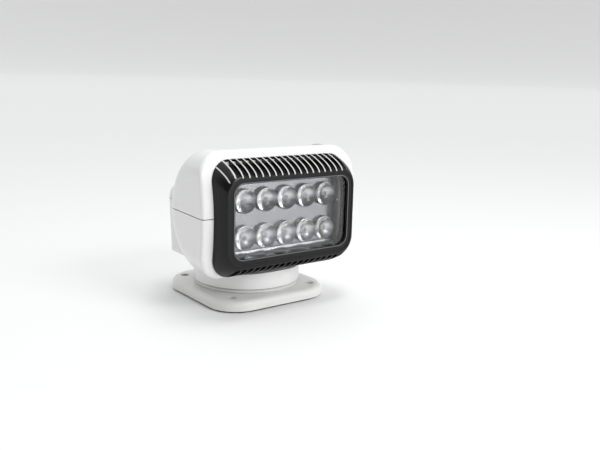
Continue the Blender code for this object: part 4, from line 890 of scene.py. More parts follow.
@dataclass(frozen=True)
class PaintedLightMirror(Finish):
    """Silvered bowls in two level rows, with a painted reflection above each row's middle and painted shade below it,
    the lower row's shade lighter.
    """

    # Painted shade on the lower halves of the upper row.
    deep: Colour
    # Lighter painted shade on the lower halves of the lower row.
    low_row_shade: Colour

    def paint(self, tree: Tree, shader: Node, effects: Effects) -> None:
        """Fill the material's tree.

        Args:
            tree: The tree.
            shader: The shader.
            effects: Shared surface effects.
        """
        grain = self.grain(tree, effects, 0.08, 60.0, 0.12, 420.0)
        height = tree.add("ShaderNodeSeparateXYZ", {0: tree.place()}).outputs["Z"]
        off = tree.math("SUBTRACT", height, OPTIC_MIDDLE)
        row = tree.math("FLOORED_MODULO", off, OPTIC_ROW_PITCH)
        # Painted reflection above each row's middle, painted shade below it.
        upper = tree.ramp(row, OPTIC_ROW_PITCH / 2 - 0.25 * OPTIC_RADIUS, OPTIC_ROW_PITCH / 2 + 0.2 * OPTIC_RADIUS)
        deep = tree.mix(tree.ramp(off, -1 * MM, 1 * MM), self.low_row_shade, self.deep)
        self.connect(tree, shader, tree.mix(upper, deep, grain.outputs["Colour"]), grain, 0.10 * MM, 0.4)
        shader.inputs["Metallic"].default_value = 1.0


@dataclass(frozen=True)
class Machined(Finish):
    """Bare or plated metal with fine tool marks."""

    stretch: tuple[float, float, float] = (2500.0, 2500.0, 60.0)
    spread: float = 0.2
    relief: float = 0.01 * MM
    wear: float = 0.3
    worn_colour: Colour = (0.75, 0.75, 0.76)

    def paint(self, tree: Tree, shader: Node, effects: Effects) -> None:
        """Fill the material's tree.

        Args:
            tree: The tree.
            shader: The shader.
            effects: Shared surface effects.
        """
        marks = tree.group(effects.brush, {"Stretch": self.stretch, "Roughness": self.roughness,
                                           "Spread": self.spread})
        grain = self.grain(tree, effects, 0.15, 60.0, 0.1, 1200.0)
        colour = self.rub(tree, effects, grain.outputs["Colour"], 0.3 * MM, self.wear, self.worn_colour)
        self.connect(tree, shader, colour, marks, self.relief, 0.35)
        shader.inputs["Metallic"].default_value = 1.0


@dataclass(frozen=True)
class Clear(Finish):
    """Clear plastic or glass, faintly hazed."""

    index: float
    relief: float

    def paint(self, tree: Tree, shader: Node, effects: Effects) -> None:
        """Fill the material's tree.

        Args:
            tree: The tree.
            shader: The shader.
            effects: Shared surface effects.
        """
        grain = self.grain(tree, effects, 0.03, 40.0, self.roughness, 400.0)
        self.connect(tree, shader, grain.outputs["Colour"], grain, self.relief, 0.2)
        shader.inputs["Transmission Weight"].default_value = 1.0
        shader.inputs["IOR"].default_value = self.index


@dataclass(frozen=True)
class Circuit(Finish):
    """Circuit board with copper tracks under its mask and plated pads."""

    track: Colour
    turn: tuple[float, float, float]

    def paint(self, tree: Tree, shader: Node, effects: Effects) -> None:
        """Fill the material's tree.

        Args:
            tree: The tree.
            shader: The shader.
            effects: Shared surface effects.
        """
        flat = tree.add("ShaderNodeMapping", {"Vector": tree.place(), "Rotation": self.turn}).outputs[0]
        lanes = tree.add("ShaderNodeTexBrick", {"Vector": flat, "Color1": (0, 0, 0, 1), "Color2": (0.2, 0.2, 0.2, 1),
                                                "Mortar": (1, 1, 1, 1), "Scale": 160.0, "Mortar Size": 0.025,
                                                "Brick Width": 0.9, "Row Height": 0.3}, offset=0.37)
        pads = tree.add("ShaderNodeTexVoronoi", {"Vector": flat, "Scale": 190.0, "Randomness": 0.35})
        pad = tree.ramp(pads.outputs["Distance"], 0.16, 0.12)
        grain = self.grain(tree, effects, 0.1, 50.0, 0.1, 2500.0)
        tracked = tree.mix(lanes.outputs["Color"], grain.outputs["Colour"], self.track)
        tree.link(tree.mix(pad, tracked, (0.75, 0.74, 0.7)), shader.inputs["Base Color"])
        tree.link(grain.outputs["Roughness"], shader.inputs["Roughness"])
        tree.link(pad, shader.inputs["Metallic"])
        self.bump(tree, shader, lanes.outputs["Fac"], 0.03 * MM, 0.4)


HOUSING = Moulding("white_housing", (0.79, 0.79, 0.785), 0.30, cloud=0.05, wear=0.25, worn_colour=(0.87, 0.87, 0.86),
                   coat=0.25, coat_roughness=0.12, relief=0.03 * MM, relief_strength=0.25)
BASE_WHITE = Moulding("white_base", (0.75, 0.745, 0.73), 0.36, cloud=0.06, wear=0.25, worn_colour=(0.84, 0.84, 0.82),
                      coat=0.15, coat_roughness=0.2, relief=0.03 * MM, relief_strength=0.3)
# Crest, mitre and bead colours are painted highlights; the edge colour is rubbed paint with a painted sheen.
BEZEL_BLACK = RibbedCasting("black_bezel", (0.005, 0.005, 0.0055), 0.24, specular=0.28,
                            edge_wear_and_sheen_colour=(0.07, 0.07, 0.073), edge_width=0.4 * MM, crest_highlight_colour=(0.62, 0.62, 0.61),
                            crest_width=1.5 * MM, pitch=8.0 * MM, reach=72.0 * MM, foot=147.6 * MM,
                            bead_highlight_colour=(0.13, 0.13, 0.135), mitre_lean=0.19, mitre_place=50.9 * MM)
ANODISED = Moulding("black_aluminium", (0.02, 0.02, 0.022), 0.42, cloud=0.3, metallic=0.8,
                    worn_colour=(0.4, 0.4, 0.42), wear=0.4, relief=0.01 * MM)
RUBBER = Moulding("rubber", (0.022, 0.022, 0.022), 0.8, cloud=0.5, cloud_scale=120.0, worn_colour=(0.06, 0.06, 0.06),
                  relief=0.06 * MM, relief_strength=0.5, grain_scale=2200.0)
NYLON = Moulding("nylon", (0.72, 0.70, 0.62), 0.42, cloud=0.08, scatter=0.15, worn_colour=(0.85, 0.84, 0.8))
BRONZE = Moulding("bronze", (0.52, 0.33, 0.14), 0.38, cloud=0.5, cloud_scale=500.0, metallic=1.0,
                  worn_colour=(0.75, 0.55, 0.3), relief=0.03 * MM, relief_strength=0.6, grain_scale=3500.0)
CAN_STEEL = Machined("motor_can", (0.50, 0.50, 0.52), 0.32)
STEEL = Machined("steel", (0.58, 0.58, 0.59), 0.24, stretch=(1800.0, 1800.0, 1800.0), spread=0.12)
SHAFT_STEEL = Machined("shaft_steel", (0.6, 0.6, 0.61), 0.2, stretch=(4000.0, 120.0, 120.0))
SILVER = Moulding("reflector", (0.36, 0.37, 0.39), 0.25, cloud=0.06, metallic=1.0, unevenness=0.12, wear=0.2,
                  worn_colour=(0.95, 0.95, 0.96), relief=0.04 * MM, relief_strength=0.35, grain_scale=700.0)
MIRROR = Moulding("mirror", (0.86, 0.87, 0.89), 0.24, cloud=0.05, metallic=1.0, unevenness=0.1, wear=0.1,
                  worn_colour=(0.95, 0.95, 0.96), relief=0.10 * MM, relief_strength=0.4, grain_scale=420.0)
# The bright colour is a painted reflection on the bowls' upper halves; the two dark colours are painted shade below.
BOWL_SILVER = PaintedLightMirror("bowl_silver", (0.97, 0.97, 0.98), 0.42, deep=(0.10, 0.11, 0.125), low_row_shade=(0.5, 0.51, 0.53))
LENS_CLEAR = Clear("clear_lens", (0.985, 0.99, 0.99), 0.012, index=1.45, relief=0.004 * MM)
OPTIC_CLEAR = Clear("clear_optic", (0.97, 0.975, 0.985), 0.24, index=1.38, relief=0.02 * MM)
BOARD_GREEN = Circuit("circuit_green", (0.015, 0.13, 0.05), 0.35, track=(0.03, 0.25, 0.1),
                      turn=(0.0, math.radians(90), 0.0))
BOARD_WHITE = Circuit("circuit_white", (0.72, 0.72, 0.70), 0.35, track=(0.62, 0.62, 0.6),
                      turn=(math.radians(90), 0.0, 0.0))
PHOSPHOR = Moulding("led_phosphor", (0.72, 0.71, 0.66), 0.35, cloud=0.15, scatter=0.2, worn_colour=(0.9, 0.85, 0.6))


class Workshop:
    """Makes finished pieces: shape, shading, finish, body and the CAD nodes that each stands for."""

    def __init__(self) -> None:
        """Build the shared effects."""
        self.effects = Effects()
        self.made: dict[str, bpy.types.Material] = {}

    def finish(self, finish: Finish) -> bpy.types.Material:
        """Material of a finish, made once.

        Args:
            finish: The finish.

        Returns:
            Its material.
        """
        if finish.name not in self.made:
            self.made[finish.name] = finish.build(self.effects)
        return self.made[finish.name]

    def piece(self, name: str, shape: Shape, body: str, finish: Finish, slot: str,
              stands_for: Sequence[str] = ()) -> bpy.types.Object:
        """Turn a shape into a finished piece.

        Args:
            name: The piece's name.
            shape: Its mesh, which is used up.
            body: CAD body that it moves with.
            finish: Its finish.
            slot: The record's material slot; not used.
            stands_for: CAD nodes that it replaces.

        Returns:
            The piece.
        """
        mesh = bpy.data.meshes.new(name)
        bmesh.ops.recalc_face_normals(shape, faces=shape.faces)
        shape.to_mesh(mesh)
        shape.free()
        even_normals(mesh)
        mesh.materials.append(self.finish(finish))
        thing = bpy.data.objects.new(name, mesh)
        bpy.context.scene.collection.objects.link(thing)
        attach(thing, body)
        if stands_for:
            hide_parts(*stands_for)
        log.info("%s: %d faces, on %s", name, len(mesh.polygons), body)
        return thing

    def dress(self, node: str, finish: Finish) -> None:
        """Give a CAD node a finish and keep its shape.

        Args:
            node: The node.
            finish: Its finish.
        """
        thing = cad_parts[node]
        if not thing.data.materials:
            thing.data.materials.append(None)
        for index in range(len(thing.material_slots)):
            thing.material_slots[index].link = "OBJECT"
            thing.material_slots[index].material = self.finish(finish)
        log.info("%s: CAD shape, finished in %s", node, finish.name)


@dataclass
class Base:
    """Square moulded base with its raised ring, well and gasket."""

    shop: Workshop
    plate_half: float = 72.4 * MM
    plate_corner: float = 34.5 * MM
    plate_top: float = 13.5 * MM
    plate_bottom: float = 1.8 * MM
    edge_round: float = 6.0 * MM
    low_edge: float = 0.6 * MM
    hole_offset: float = 52.6 * MM
    hole_radius: float = 4.8 * MM
    hole_chamfer: float = 0.25 * MM
    cable_radius: float = 5.0 * MM
    cable_y: float = 18.5 * MM
    ring_radius: float = 60.6 * MM
    ring_top: float = 17.6 * MM
    foot_radius: float = 67.5 * MM
    well_radius: float = 50.2 * MM
    well_floor: float = 6.0 * MM

    def moulding(self) -> Shape:
        """Plate with a rounded top edge, the raised ring on it and its holes.

        Returns:
            The shape.
        """
        plate = bmesh.new()
        loops = []
        low = self.plate_bottom + self.low_edge
        sections = [(self.low_edge, self.plate_bottom), (0.0, low)]
        middle = self.plate_top - self.edge_round
        sections += [(self.edge_round - u, v) for u, v in
                     arc_points((0.0, middle), (self.edge_round, self.edge_round), 0, 90, 8)]
        for inset, height in sections:
            half = self.plate_half - inset
            loops.append(rounded_loop(plate, box_corners(half, -half, half, self.plate_corner - inset),
                                      top_view(height), 16))
        shape = carved(skin(plate, loops), self.ring(), Carve.JOIN)
        above = self.ring_top + 2 * MM
        shape = carved(shape, rod(self.well_radius + 0.01 * MM, self.well_floor, above, 96))
        above = self.plate_top + 2 * MM
        hole = [(0.0, above), (self.hole_radius + self.hole_chamfer + 2 * MM, above),
                (self.hole_radius, self.plate_top - self.hole_chamfer), (self.hole_radius, 0.0), (0.0, 0.0)]
        holes = [turned(hole, 32, Vector((x, y, 0))) for x in (-self.hole_offset, self.hole_offset)
                 for y in (-self.hole_offset, self.hole_offset)]
        holes.append(rod(self.cable_radius, 0.0, 9 * MM, 24, Vector((0, self.cable_y, 0))))
        return carved(shape, joined(holes))

    def ring(self) -> Shape:
        """Raised ring with a lip at its top, a groove and a hollow foot.

        Returns:
            The shape.
        """
        radius, top = self.ring_radius, self.ring_top
        lip, groove = radius - 1.5 * MM, self.plate_top + 1.5 * MM
        inner, floor, sunk = radius - 1.3 * MM, groove - 1.3 * MM, self.plate_top - 1.0 * MM
        profile = [(self.well_radius, top), (lip, top), (lip, top - 0.5 * MM), (radius, top - 0.6 * MM),
                   (radius, groove), (inner, groove - 0.1 * MM), (inner, floor), (radius + 0.5 * MM, floor)]
        start = (self.foot_radius + 0.7 * MM, groove - 0.8 * MM)
        slope = (self.foot_radius - radius, start[1] - self.plate_top + 0.05 * MM)
        profile += arc_points(start, slope, 180, 270, 8)
        return turned(profile + [(start[0], sunk), (self.well_radius, sunk)], 96)

    def build(self) -> None:
        """Make the base's pieces and dress its CAD nodes."""
        self.shop.piece("base_moulding", self.moulding(), "base", BASE_WHITE, "white_housing", ["base_plate"])
        for node in ("deck_gasket", "neck_seal", "cable_grommet"):
            self.shop.dress(node, RUBBER)
        for node in ("pan_ring_gear", "thrust_washer"):
            self.shop.dress(node, NYLON)
        for node in ("spindle", "spindle_washer", "spindle_nut"):
            self.shop.dress(node, STEEL)


@dataclass
class Screw:
    """Pan-head screw with a cross recess."""

    head_radius: float = 2.8 * MM
    head_height: float = 1.8 * MM
    shank: float = 1.5 * MM
    length: float = 15.0 * MM
    thread_pitch: float = 0.7 * MM
    recess_reach: float = 1.7 * MM
    recess_width: float = 0.72 * MM

    def shape(self, seat: Vector, axis: Vector) -> Shape:
        """Screw whose head sits at a place.

        Args:
            seat: Centre of the face under its head.
            axis: Direction from there out through the head.

        Returns:
            The shape.
        """
        rise = (self.head_radius, 0.65 * self.head_height)
        profile = [(0.0, self.head_height)] + arc_points((0.0, 0.35 * self.head_height), rise, 88, 0, 8)
        profile += [(self.head_radius, 0.0), (self.shank, 0.0)]
        for turn in range(int(self.length / self.thread_pitch)):
            low = -self.thread_pitch * (turn + 0.5)
            profile += [(self.shank, low + 0.2 * MM), (self.shank * 0.82, low), (self.shank, low - 0.2 * MM)]
        profile += [(self.shank * 0.6, -self.length), (0.0, -self.length)]
        long, thin = self.recess_reach, self.recess_width / 2
        arms = [slab(box_corners(wide, -deep, deep), top_view(0.6 * MM), top_view(3 * MM))
                for wide, deep in ((long, thin), (thin, long))]
        return laid(carved(turned(profile, 24), carved(arms[0], arms[1], Carve.JOIN)), seat, axis)


@dataclass
class Turret:
    """Round-necked turret that pans, in two mouldings with a seam between them."""

    shop: Workshop
    half_width: float = 68.0 * MM
    bottom: float = 41.7 * MM
    rear_low: float = 60.5 * MM
    rear_high: float = 65.5 * MM
    rear_high_z: float = 103.0 * MM
    knuckle: float = 17.5 * MM
    rear_round: float = 18.0 * MM
    low_round: float = 4.0 * MM
    edge_round: float = 8.0 * MM
    wall: float = 2.8 * MM
    floor: float = 3.0 * MM
    neck_radius: float = 61.1 * MM
    neck_bottom: float = 18.0 * MM
    swing_radius: float = 71.25 * MM
    side_bore: float = 8.8 * MM
    hub_radius: float = 16.0 * MM
    hub_bore: float = 12.5 * MM
    hub_height: float = 10.1 * MM
    screw_x: float = 46.0 * MM
    pocket_height: float = 12.5 * MM
    pocket_wall: float = 3.0 * MM

    def rear_y(self, z: float, inset: float) -> float:
        """Depth of the leaning rear face.

        Args:
            z: Height.
            inset: How far the face is moved inwards.

        Returns:
            The depth.
        """
        lean = math.atan2(self.rear_high - self.rear_low, self.rear_high_z - self.bottom)
        return self.rear_low + (z - self.bottom) * math.tan(lean) - inset / math.cos(lean)

    def front_y(self, z: float, inset: float) -> float:
        """Depth of the slanting front face.

        Args:
            z: Height.
            inset: How far the face is moved inwards.

        Returns:
            The depth.
        """
        return TILT_Y - (self.knuckle - inset) * math.sqrt(2.0) - (z - TILT_Z)

    def box_shape(self, inset: float) -> Shape:
        """Arm and rear box as a skin over outlines that shrink towards each side.

        Args:
            inset: How far the whole shape is moved inwards.

        Returns:
            The shape.
        """
        shape = bmesh.new()
        radius = self.edge_round - inset
        middle = self.half_width - inset - radius
        right = arc_points((middle, 0.0), (radius, radius), 90, 0, 8)
        loops = []
        for x, depth in [(-x, depth) for x, depth in reversed(right)] + right:
            shrink = inset + radius - depth
            low, high = self.bottom + shrink, TILT_Z + self.knuckle - shrink
            low_round = max(self.low_round - shrink, 1.0 * MM)
            corners = [(self.front_y(low, shrink), low, low_round), (self.rear_y(low, shrink), low, low_round),
                       (self.rear_y(high, shrink), high, self.rear_round - shrink),
                       (self.front_y(high, shrink), high, self.knuckle - shrink)]
            loops.append(rounded_loop(shape, corners, side_view(x), 14))
        return skin(shape, loops)

    def neck_shape(self, inset: float) -> Shape:
        """Round neck with the dish that the head swings over.

        Args:
            inset: Wall thickness to leave outside it, or 0 for the outside itself.

        Returns:
            The shape.
        """
        low = self.neck_bottom + (self.floor if inset else 0.0)
        high = self.bottom + inset + 1.4 * MM
        radius = self.neck_radius - inset
        inner = radius - 1.9 * MM
        foot = [(radius, low)] if inset else [(radius, low + 0.8 * MM), (inner, low + 0.7 * MM), (inner, low)]
        neck = turned([(0.0, high), (radius, high)] + foot + [(0.0, low)], 128)
        reach = self.neck_radius + 4 * MM
        return carved(neck, rod(self.swing_radius + inset, -reach, reach, 160, TILT_CENTRE, RIGHT))

    def screw_places(self) -> list[Vector]:
        """Seats of the two screws in the rear pockets.

        Returns:
            The centre under each head.
        """
        y = self.rear_y(SCREW_SEAT_Z, 0) - 10 * MM + WELL_RADIUS
        return [Vector((x, y, SCREW_SEAT_Z - GAP)) for x in (-self.screw_x, self.screw_x)]

    def halves(self) -> tuple[Shape, Shape]:
        """Lower moulding with the neck, and the cover above the seam.

        Returns:
            The two shapes.
        """
        hollow = self.box_shape(self.wall)
        lower = halved(self.box_shape(0.0), UP * (TILT_Z - SEAM_GAP / 2), -UP)
        cover = halved(self.box_shape(0.0), UP * (TILT_Z + SEAM_GAP / 2), UP)
        lower = carved(lower, self.neck_shape(0.0), Carve.JOIN)
        lower = carved(lower, hollow, keep_tool=True)
        cover = carved(cover, hollow)
        lower = carved(lower, self.neck_shape(self.wall))
        side = rod(self.side_bore, -80 * MM, 80 * MM, 48, TILT_CENTRE, RIGHT)
        outer, bore = self.hub_radius, self.hub_bore
        low, high = self.neck_bottom + 0.5 * MM, self.neck_bottom + self.hub_height
        lower = carved(lower, turned([(bore, high), (outer, high), (outer, low), (bore, low)], 64), Carve.JOIN)
        lower = carved(lower, rod(bore, 10 * MM, 60 * MM, 64))
        lower = carved(lower, side, keep_tool=True)
        cover = carved(cover, side)
        pockets, walls = [], []
        for seat in self.screw_places():
            low, half = SCREW_SEAT_Z - self.pocket_height, WELL_RADIUS
            corners = corners_between(seat.x - half, seat.x + half, low, SCREW_SEAT_Z, 1.2 * MM)
            pockets.append(slab(corners, front_view(seat.y - half), front_view(self.rear_high + 10 * MM), 5))
            thick = half + self.pocket_wall
            corners = corners_between(seat.x - thick, seat.x + thick, low - self.pocket_wall, TILT_Z - SEAM_GAP)
            walls.append(slab(corners, front_view(seat.y - thick), front_view(self.rear_y(low, self.wall / 2))))
        lower = carved(lower, joined(walls), Carve.JOIN)
        return carved(lower, joined(pockets)), cover

    def build(self) -> None:
        """Make the turret's pieces and dress its CAD nodes."""
        lower, cover = self.halves()
        self.shop.piece("turret_moulding", lower, "turret", HOUSING, "white_housing", ["turret_lower"])
        self.shop.piece("turret_top_moulding", cover, "turret", HOUSING, "white_housing", ["turret_cover"])
        for side, seat in zip(("left", "right"), self.screw_places()):
            screw = Screw().shape(seat, -UP)
            self.shop.piece("cover_fixing_" + side, screw, "turret", STEEL, "steel", ["cover_screw_" + side])
        for node in ("pan_gearbox", "pan_motor", "tilt_gearbox", "tilt_motor"):
            self.shop.dress(node, CAN_STEEL)
        for node in ("pan_bush", "tilt_bush_left", "tilt_bush_right"):
            self.shop.dress(node, BRONZE)
        for node in ("pan_pinion", "tilt_pinion"):
            self.shop.dress(node, STEEL)
        self.shop.dress("control_board", BOARD_GREEN)


@dataclass
class Housing:
    """White lamp housing that tilts, in two shells that meet at a level seam."""

    shop: Workshop
    front_y: float = -73.3 * MM
    half_width: float = 100.5 * MM
    radius: float = 66.0 * MM
    edge_round: float = 27.0 * MM
    front_round: float = 4.0 * MM
    taper: float = 0.07
    wall: float = 2.8 * MM
    front_wall: float = 3.0 * MM
    cheek_inner: float = 70.0 * MM
    chamber_back: float = -64.0 * MM
    screw_y: float = -12.0 * MM
    post_half: float = 6.8 * MM
    shaft_bore: float = 6.3 * MM

    def solid(self, inset: float, front: float, edge_radius: float = 0.0) -> Shape:
        """Rounded housing with a bowed front, without its hollow.

        Args:
            inset: How far it is moved inwards.
            front: Depth of its front where that stands out most.
            edge_radius: Rounding of the front's edge.

        Returns:
            The shape.
        """
        shape = bmesh.new()
        edge = self.edge_round - inset
        middle = self.half_width - inset - edge
        right = arc_points((middle, 0.0), (edge, edge), 90, 0, 14)
        ahead = self.front_y - 60 * MM
        loops = []
        for x, depth in [(-x, depth) for x, depth in reversed(right)] + right:
            radius = self.radius - inset - edge + depth
            rear = TILT_Y + radius
            corners = [(ahead, TILT_Z - radius, 0), (rear, TILT_Z - radius, radius * 0.9999),
                       (rear, TILT_Z + radius, radius * 0.9999), (ahead, TILT_Z + radius, 0)]
            loops.append(rounded_loop(shape, corners, side_view(x), 28))
        halved(skin(shape, loops), Vector((0, front, 0)), -AHEAD)
        if edge_radius:
            rounded(shape, edge_radius, 6, lambda side: all(vert.co.y < front + 0.03 * MM for vert in side.verts))
        bowed(shape, front + edge_radius + GAP, FRONT_BOW)
        for vert in shape.verts:
            vert.co.x *= 1 - self.taper * (vert.co.y - self.front_y) / self.half_width
        return shape

    def slot(self, inset: float) -> Shape:
        """Space between the cheeks, behind the lamp chamber.

        Args:
            inset: Wall thickness that is added round it.

        Returns:
            The shape.
        """
        half = self.cheek_inner + inset
        reach = self.radius + self.wall
        shape = slab(box_corners(half, TILT_Z - reach, TILT_Z + reach), front_view(self.chamber_back - inset),
                     front_view(TILT_Y + reach))
        return bowed(shape, TILT_Y, TOP_BOW)

    def screw_places(self) -> list[Vector]:
        """Seats of the two screws in the wells beside the cheeks' inner walls.

        Returns:
            The centre under each head.
        """
        x = self.cheek_inner + self.post_half
        return [Vector((side * x, self.screw_y, SCREW_SEAT_Z - GAP)) for side in (-1, 1)]

    def posts(self) -> tuple[Shape, Shape]:
        """Posts that the shells' screws run through, and the wells up to the screws' heads.

        Returns:
            The posts, and the wells to cut out of them.
        """
        posts, wells = [], []
        for side, seat in zip((-1, 1), self.screw_places()):
            near, far = side * (self.cheek_inner + self.wall / 2), seat.x + side * self.post_half
            y, low = self.post_half, TILT_Z - self.radius
            corners = corners_between(seat.y - y, seat.y + y, low, TILT_Z + 10 * MM, 1 * MM)
            posts.append(slab(corners, side_view(near), side_view(far), 4))
            wells.append(rod(WELL_RADIUS, low, SCREW_SEAT_Z, 32, Vector((seat.x, seat.y, 0))))
        return carved(joined(posts), self.solid(self.wall / 2, self.front_y), Carve.MEET), joined(wells)

    def shells(self) -> tuple[Shape, Shape]:
        """Upper and lower shell.

        Returns:
            The two shapes.
        """
        hollow = carved(self.solid(self.wall, self.front_y + self.front_wall), self.slot(self.wall))
        whole = carved(self.solid(0.0, self.front_y, self.front_round), self.slot(0.0))
        whole = carved(whole, hollow)
        deep = self.chamber_back - self.wall - GAP / 2
        window = slab(box_corners(76.0 * MM, 53.1 * MM, 155.3 * MM, 16.5 * MM), front_view(self.front_y - 3.3 * MM),
                      front_view(deep), 12)
        whole = carved(whole, bowed(window, deep + GAP, TOP_BOW))
        whole = carved(whole, rod(self.shaft_bore, -76 * MM, 76 * MM, 32, TILT_CENTRE, RIGHT))
        posts, wells = self.posts()
        whole = carved(carved(whole, posts, Carve.JOIN), wells)
        gap = slab(box_corners(120 * MM, -120 * MM, 60 * MM), top_view(TILT_Z - SEAM_GAP / 2),
                   top_view(TILT_Z + SEAM_GAP / 2))
        whole = carved(whole, gap)
        upper, lower = whole, whole.copy()
        for shape, keeps_upper in ((upper, True), (lower, False)):
            away = [vert for vert in shape.verts if (vert.co.z > TILT_Z) != keeps_upper]
            bmesh.ops.delete(shape, geom=away, context="VERTS")
        return upper, lower

    def build(self) -> None:
        """Make the housing's pieces."""
        upper, lower = self.shells()
        self.shop.piece("upper_housing", upper, "head", HOUSING, "white_housing", ["upper_shell"])
        self.shop.piece("lower_housing", lower, "head", HOUSING, "white_housing", ["lower_shell"])
        for side, seat in zip(("left", "right"), self.screw_places()):
            screw = Screw().shape(seat, -UP)
            self.shop.piece("shell_fixing_" + side, screw, "head", STEEL, "steel", ["shell_screw_" + side])
        self.shop.dress("tilt_shaft", SHAFT_STEEL)
        self.shop.dress("tilt_gear", STEEL)
        for node in ("hub_clamp_left", "hub_clamp_right"):
            self.shop.dress(node, ANODISED)


@dataclass
class Bezel:
    """Cast black front frame with two rows of cooling slots between rounded ribs."""

    shop: Workshop
    back: float = -73.6 * MM
    front: float = -90.3 * MM
    half_width: float = 87.6 * MM
    low: float = 41.7 * MM
    high: float = 164.3 * MM
    corner: float = 23.0 * MM
    lean: float = 0.55
    rim_half: float = 81.0 * MM
    rim_low: float = 56.0 * MM
    rim_high: float = 148.0 * MM
    rim_corner: float = 19.0 * MM
    bead_width: float = 1.7 * MM
    band_depth: float = 0.6 * MM
    lip: float = 1.5 * MM
    rebate: float = 3.0 * MM
    slots: int = 18
    pitch: float = 8.0 * MM
    slot_width: float = 6.2 * MM
    slot_depth: float = 5.0 * MM
    slot_end_depth: float = 2.2 * MM

    def share(self, angle: float) -> float:
        """Fall of the section towards the rim.

        Args:
            angle: Place on the section, from 0 at the back to a quarter turn at the rim.

        Returns:
            The fall, from 0 to 1.
        """
        return self.lean * math.sin(angle) + (1 - self.lean) * (1 - math.cos(angle))

    def flat_depth(self, angle: float) -> float:
        """Depth of the section before its back is bowed."""
        return self.back + (self.front - self.back) * math.sin(angle)

    def depth_at(self, angle: float, z: float) -> float:
        """Depth of the section, from the bowed back to the flat front.

        Args:
            angle: Place on the section.
            z: Height.

        Returns:
            The depth.
        """
        flat = self.flat_depth(angle)
        return flat + FRONT_BOW.fall(z) * (flat - self.front) / (self.back - self.front)

    def outline(self, angle: float) -> list[Corner]:
        """Outline of the section.

        Args:
            angle: Place on the section.

        Returns:
            Its corners.
        """
        share = self.share(angle)
        return box_corners(self.half_width + (self.rim_half - self.half_width) * share,
                           self.low + (self.rim_low - self.low) * share,
                           self.high + (self.rim_high - self.high) * share,
                           self.corner + (self.rim_corner - self.corner) * share)

    def frame_shape(self) -> Shape:
        """Convex frame before its window and slots.

        Returns:
            The shape.
        """
        shape = bmesh.new()
        loops = []
        steps = 20
        for step in range(steps + 1):
            angle = math.radians(90) * step / steps
            loops.append(rounded_loop(shape, self.outline(angle), front_view(self.flat_depth(angle)), 14))
        skin(shape, loops)
        banded(shape, self.low + 2 * MM, self.high, 3.9 * MM)
        for vert in shape.verts:
            vert.co.y += FRONT_BOW.fall(vert.co.z) * (vert.co.y - self.front) / (self.back - self.front)
        bmesh.ops.triangulate(shape, faces=[face for face in shape.faces if len(face.verts) > 4])
        bmesh.ops.recalc_face_normals(shape, faces=shape.faces)
        return shape

    def slot_tool(self, x: float, edge: float, rim: float, start: float, end: float) -> Shape:
        """One slot between two ribs, flared so that the ribs' crests come out rounded.

        Args:
            x: Its middle.
            edge: Height of the frame's outer edge.
            rim: Height of the rim beside the window.
            start: First angle on the frame's convex section, in degrees.
            end: Last angle.

        Returns:
            The shape to cut away.
        """
        shape = bmesh.new()
        loops = []
        half, flare, above, wide = self.slot_width / 2, 0.6 * MM, 0.12 * MM, 0.75 * MM
        steps = 14
        places = []
        for step in range(-1, steps + 2):
            angle = math.radians(start + (end - start) * step / steps)
            height = edge + (rim - edge) * self.share(angle)
            places.append(Vector((0.0, self.depth_at(angle, height), height)))
        for step in range(steps + 1):
            run = (places[step + 2] - places[step]).normalized()
            normal = Vector((0.0, run.z, -run.y)) * math.copysign(1, edge - rim)
            place = places[step + 1]
            deep = self.slot_depth + (self.slot_end_depth - self.slot_depth) * step / steps
            corners = [(-half, -deep, 0.6 * MM), (half, -deep, 0.6 * MM), (half, above, flare),
                       (half + wide, above, 0), (half + wide, 2.5 * MM, 0), (-half - wide, 2.5 * MM, 0),
                       (-half - wide, above, 0), (-half, above, flare)]
            plane = lambda u, v, place=place, normal=normal: Vector((x + u, 0, 0)) + place + normal * v
            loops.append(rounded_loop(shape, corners, plane, 5))
        return skin(shape, loops)

    def band_tool(self) -> Shape:
        """Shallow ring that sinks the rim's flat face between the bead round the window and its outer edge.

        Returns:
            The shape to cut away.
        """
        tools = []
        for grow, ahead, behind in ((6.2 * MM, 3 * MM, self.band_depth),
                                    (self.bead_width, 4 * MM, self.band_depth + 1 * MM)):
            upper = min(grow, self.rim_high - WINDOW_HIGH - 1.2 * MM)
            corners = box_corners(WINDOW_HALF + grow, WINDOW_LOW - grow, WINDOW_HIGH + upper,
                                  WINDOW_CORNER + upper)
            tools.append(slab(corners, front_view(self.front - ahead), front_view(self.front + behind), 16))
        return carved(tools[0], tools[1])

    def shape(self) -> Shape:
        """Finished frame.

        Returns:
            The shape.
        """
        frame_solid = carved(self.frame_shape(), self.band_tool())
        window = slab(box_corners(WINDOW_HALF, WINDOW_LOW, WINDOW_HIGH, WINDOW_CORNER),
                      front_view(self.front - 3 * MM), front_view(self.back + 14 * MM), 16)
        frame_solid = carved(frame_solid, window)
        wide = self.rebate
        seat = slab(box_corners(WINDOW_HALF + wide, WINDOW_LOW - wide, WINDOW_HIGH + wide,
                                WINDOW_CORNER + wide), front_view(self.front + self.lip),
                    front_view(self.back + 14 * MM), 16)
        frame_solid = carved(frame_solid, seat)
        limit = self.front + 0.02 * MM
        reach = self.bead_width + 0.1 * MM
        frame_solid = rounded(frame_solid, 0.4 * MM, 3, lambda edge: sharp(edge) and all(
            vert.co.y < limit and abs(vert.co.x) < WINDOW_HALF + reach
            and WINDOW_LOW - reach < vert.co.z < WINDOW_HIGH + reach for vert in edge.verts))
        tools = []
        for edge, rim, end in ((self.high, self.rim_high, 80.0), (self.low, self.rim_low, 76.0)):
            for index in range(self.slots):
                x = (index - (self.slots - 1) / 2) * self.pitch
                tools.append(self.slot_tool(x, edge, rim, 3.0, end))
        return carved(frame_solid, joined(tools))

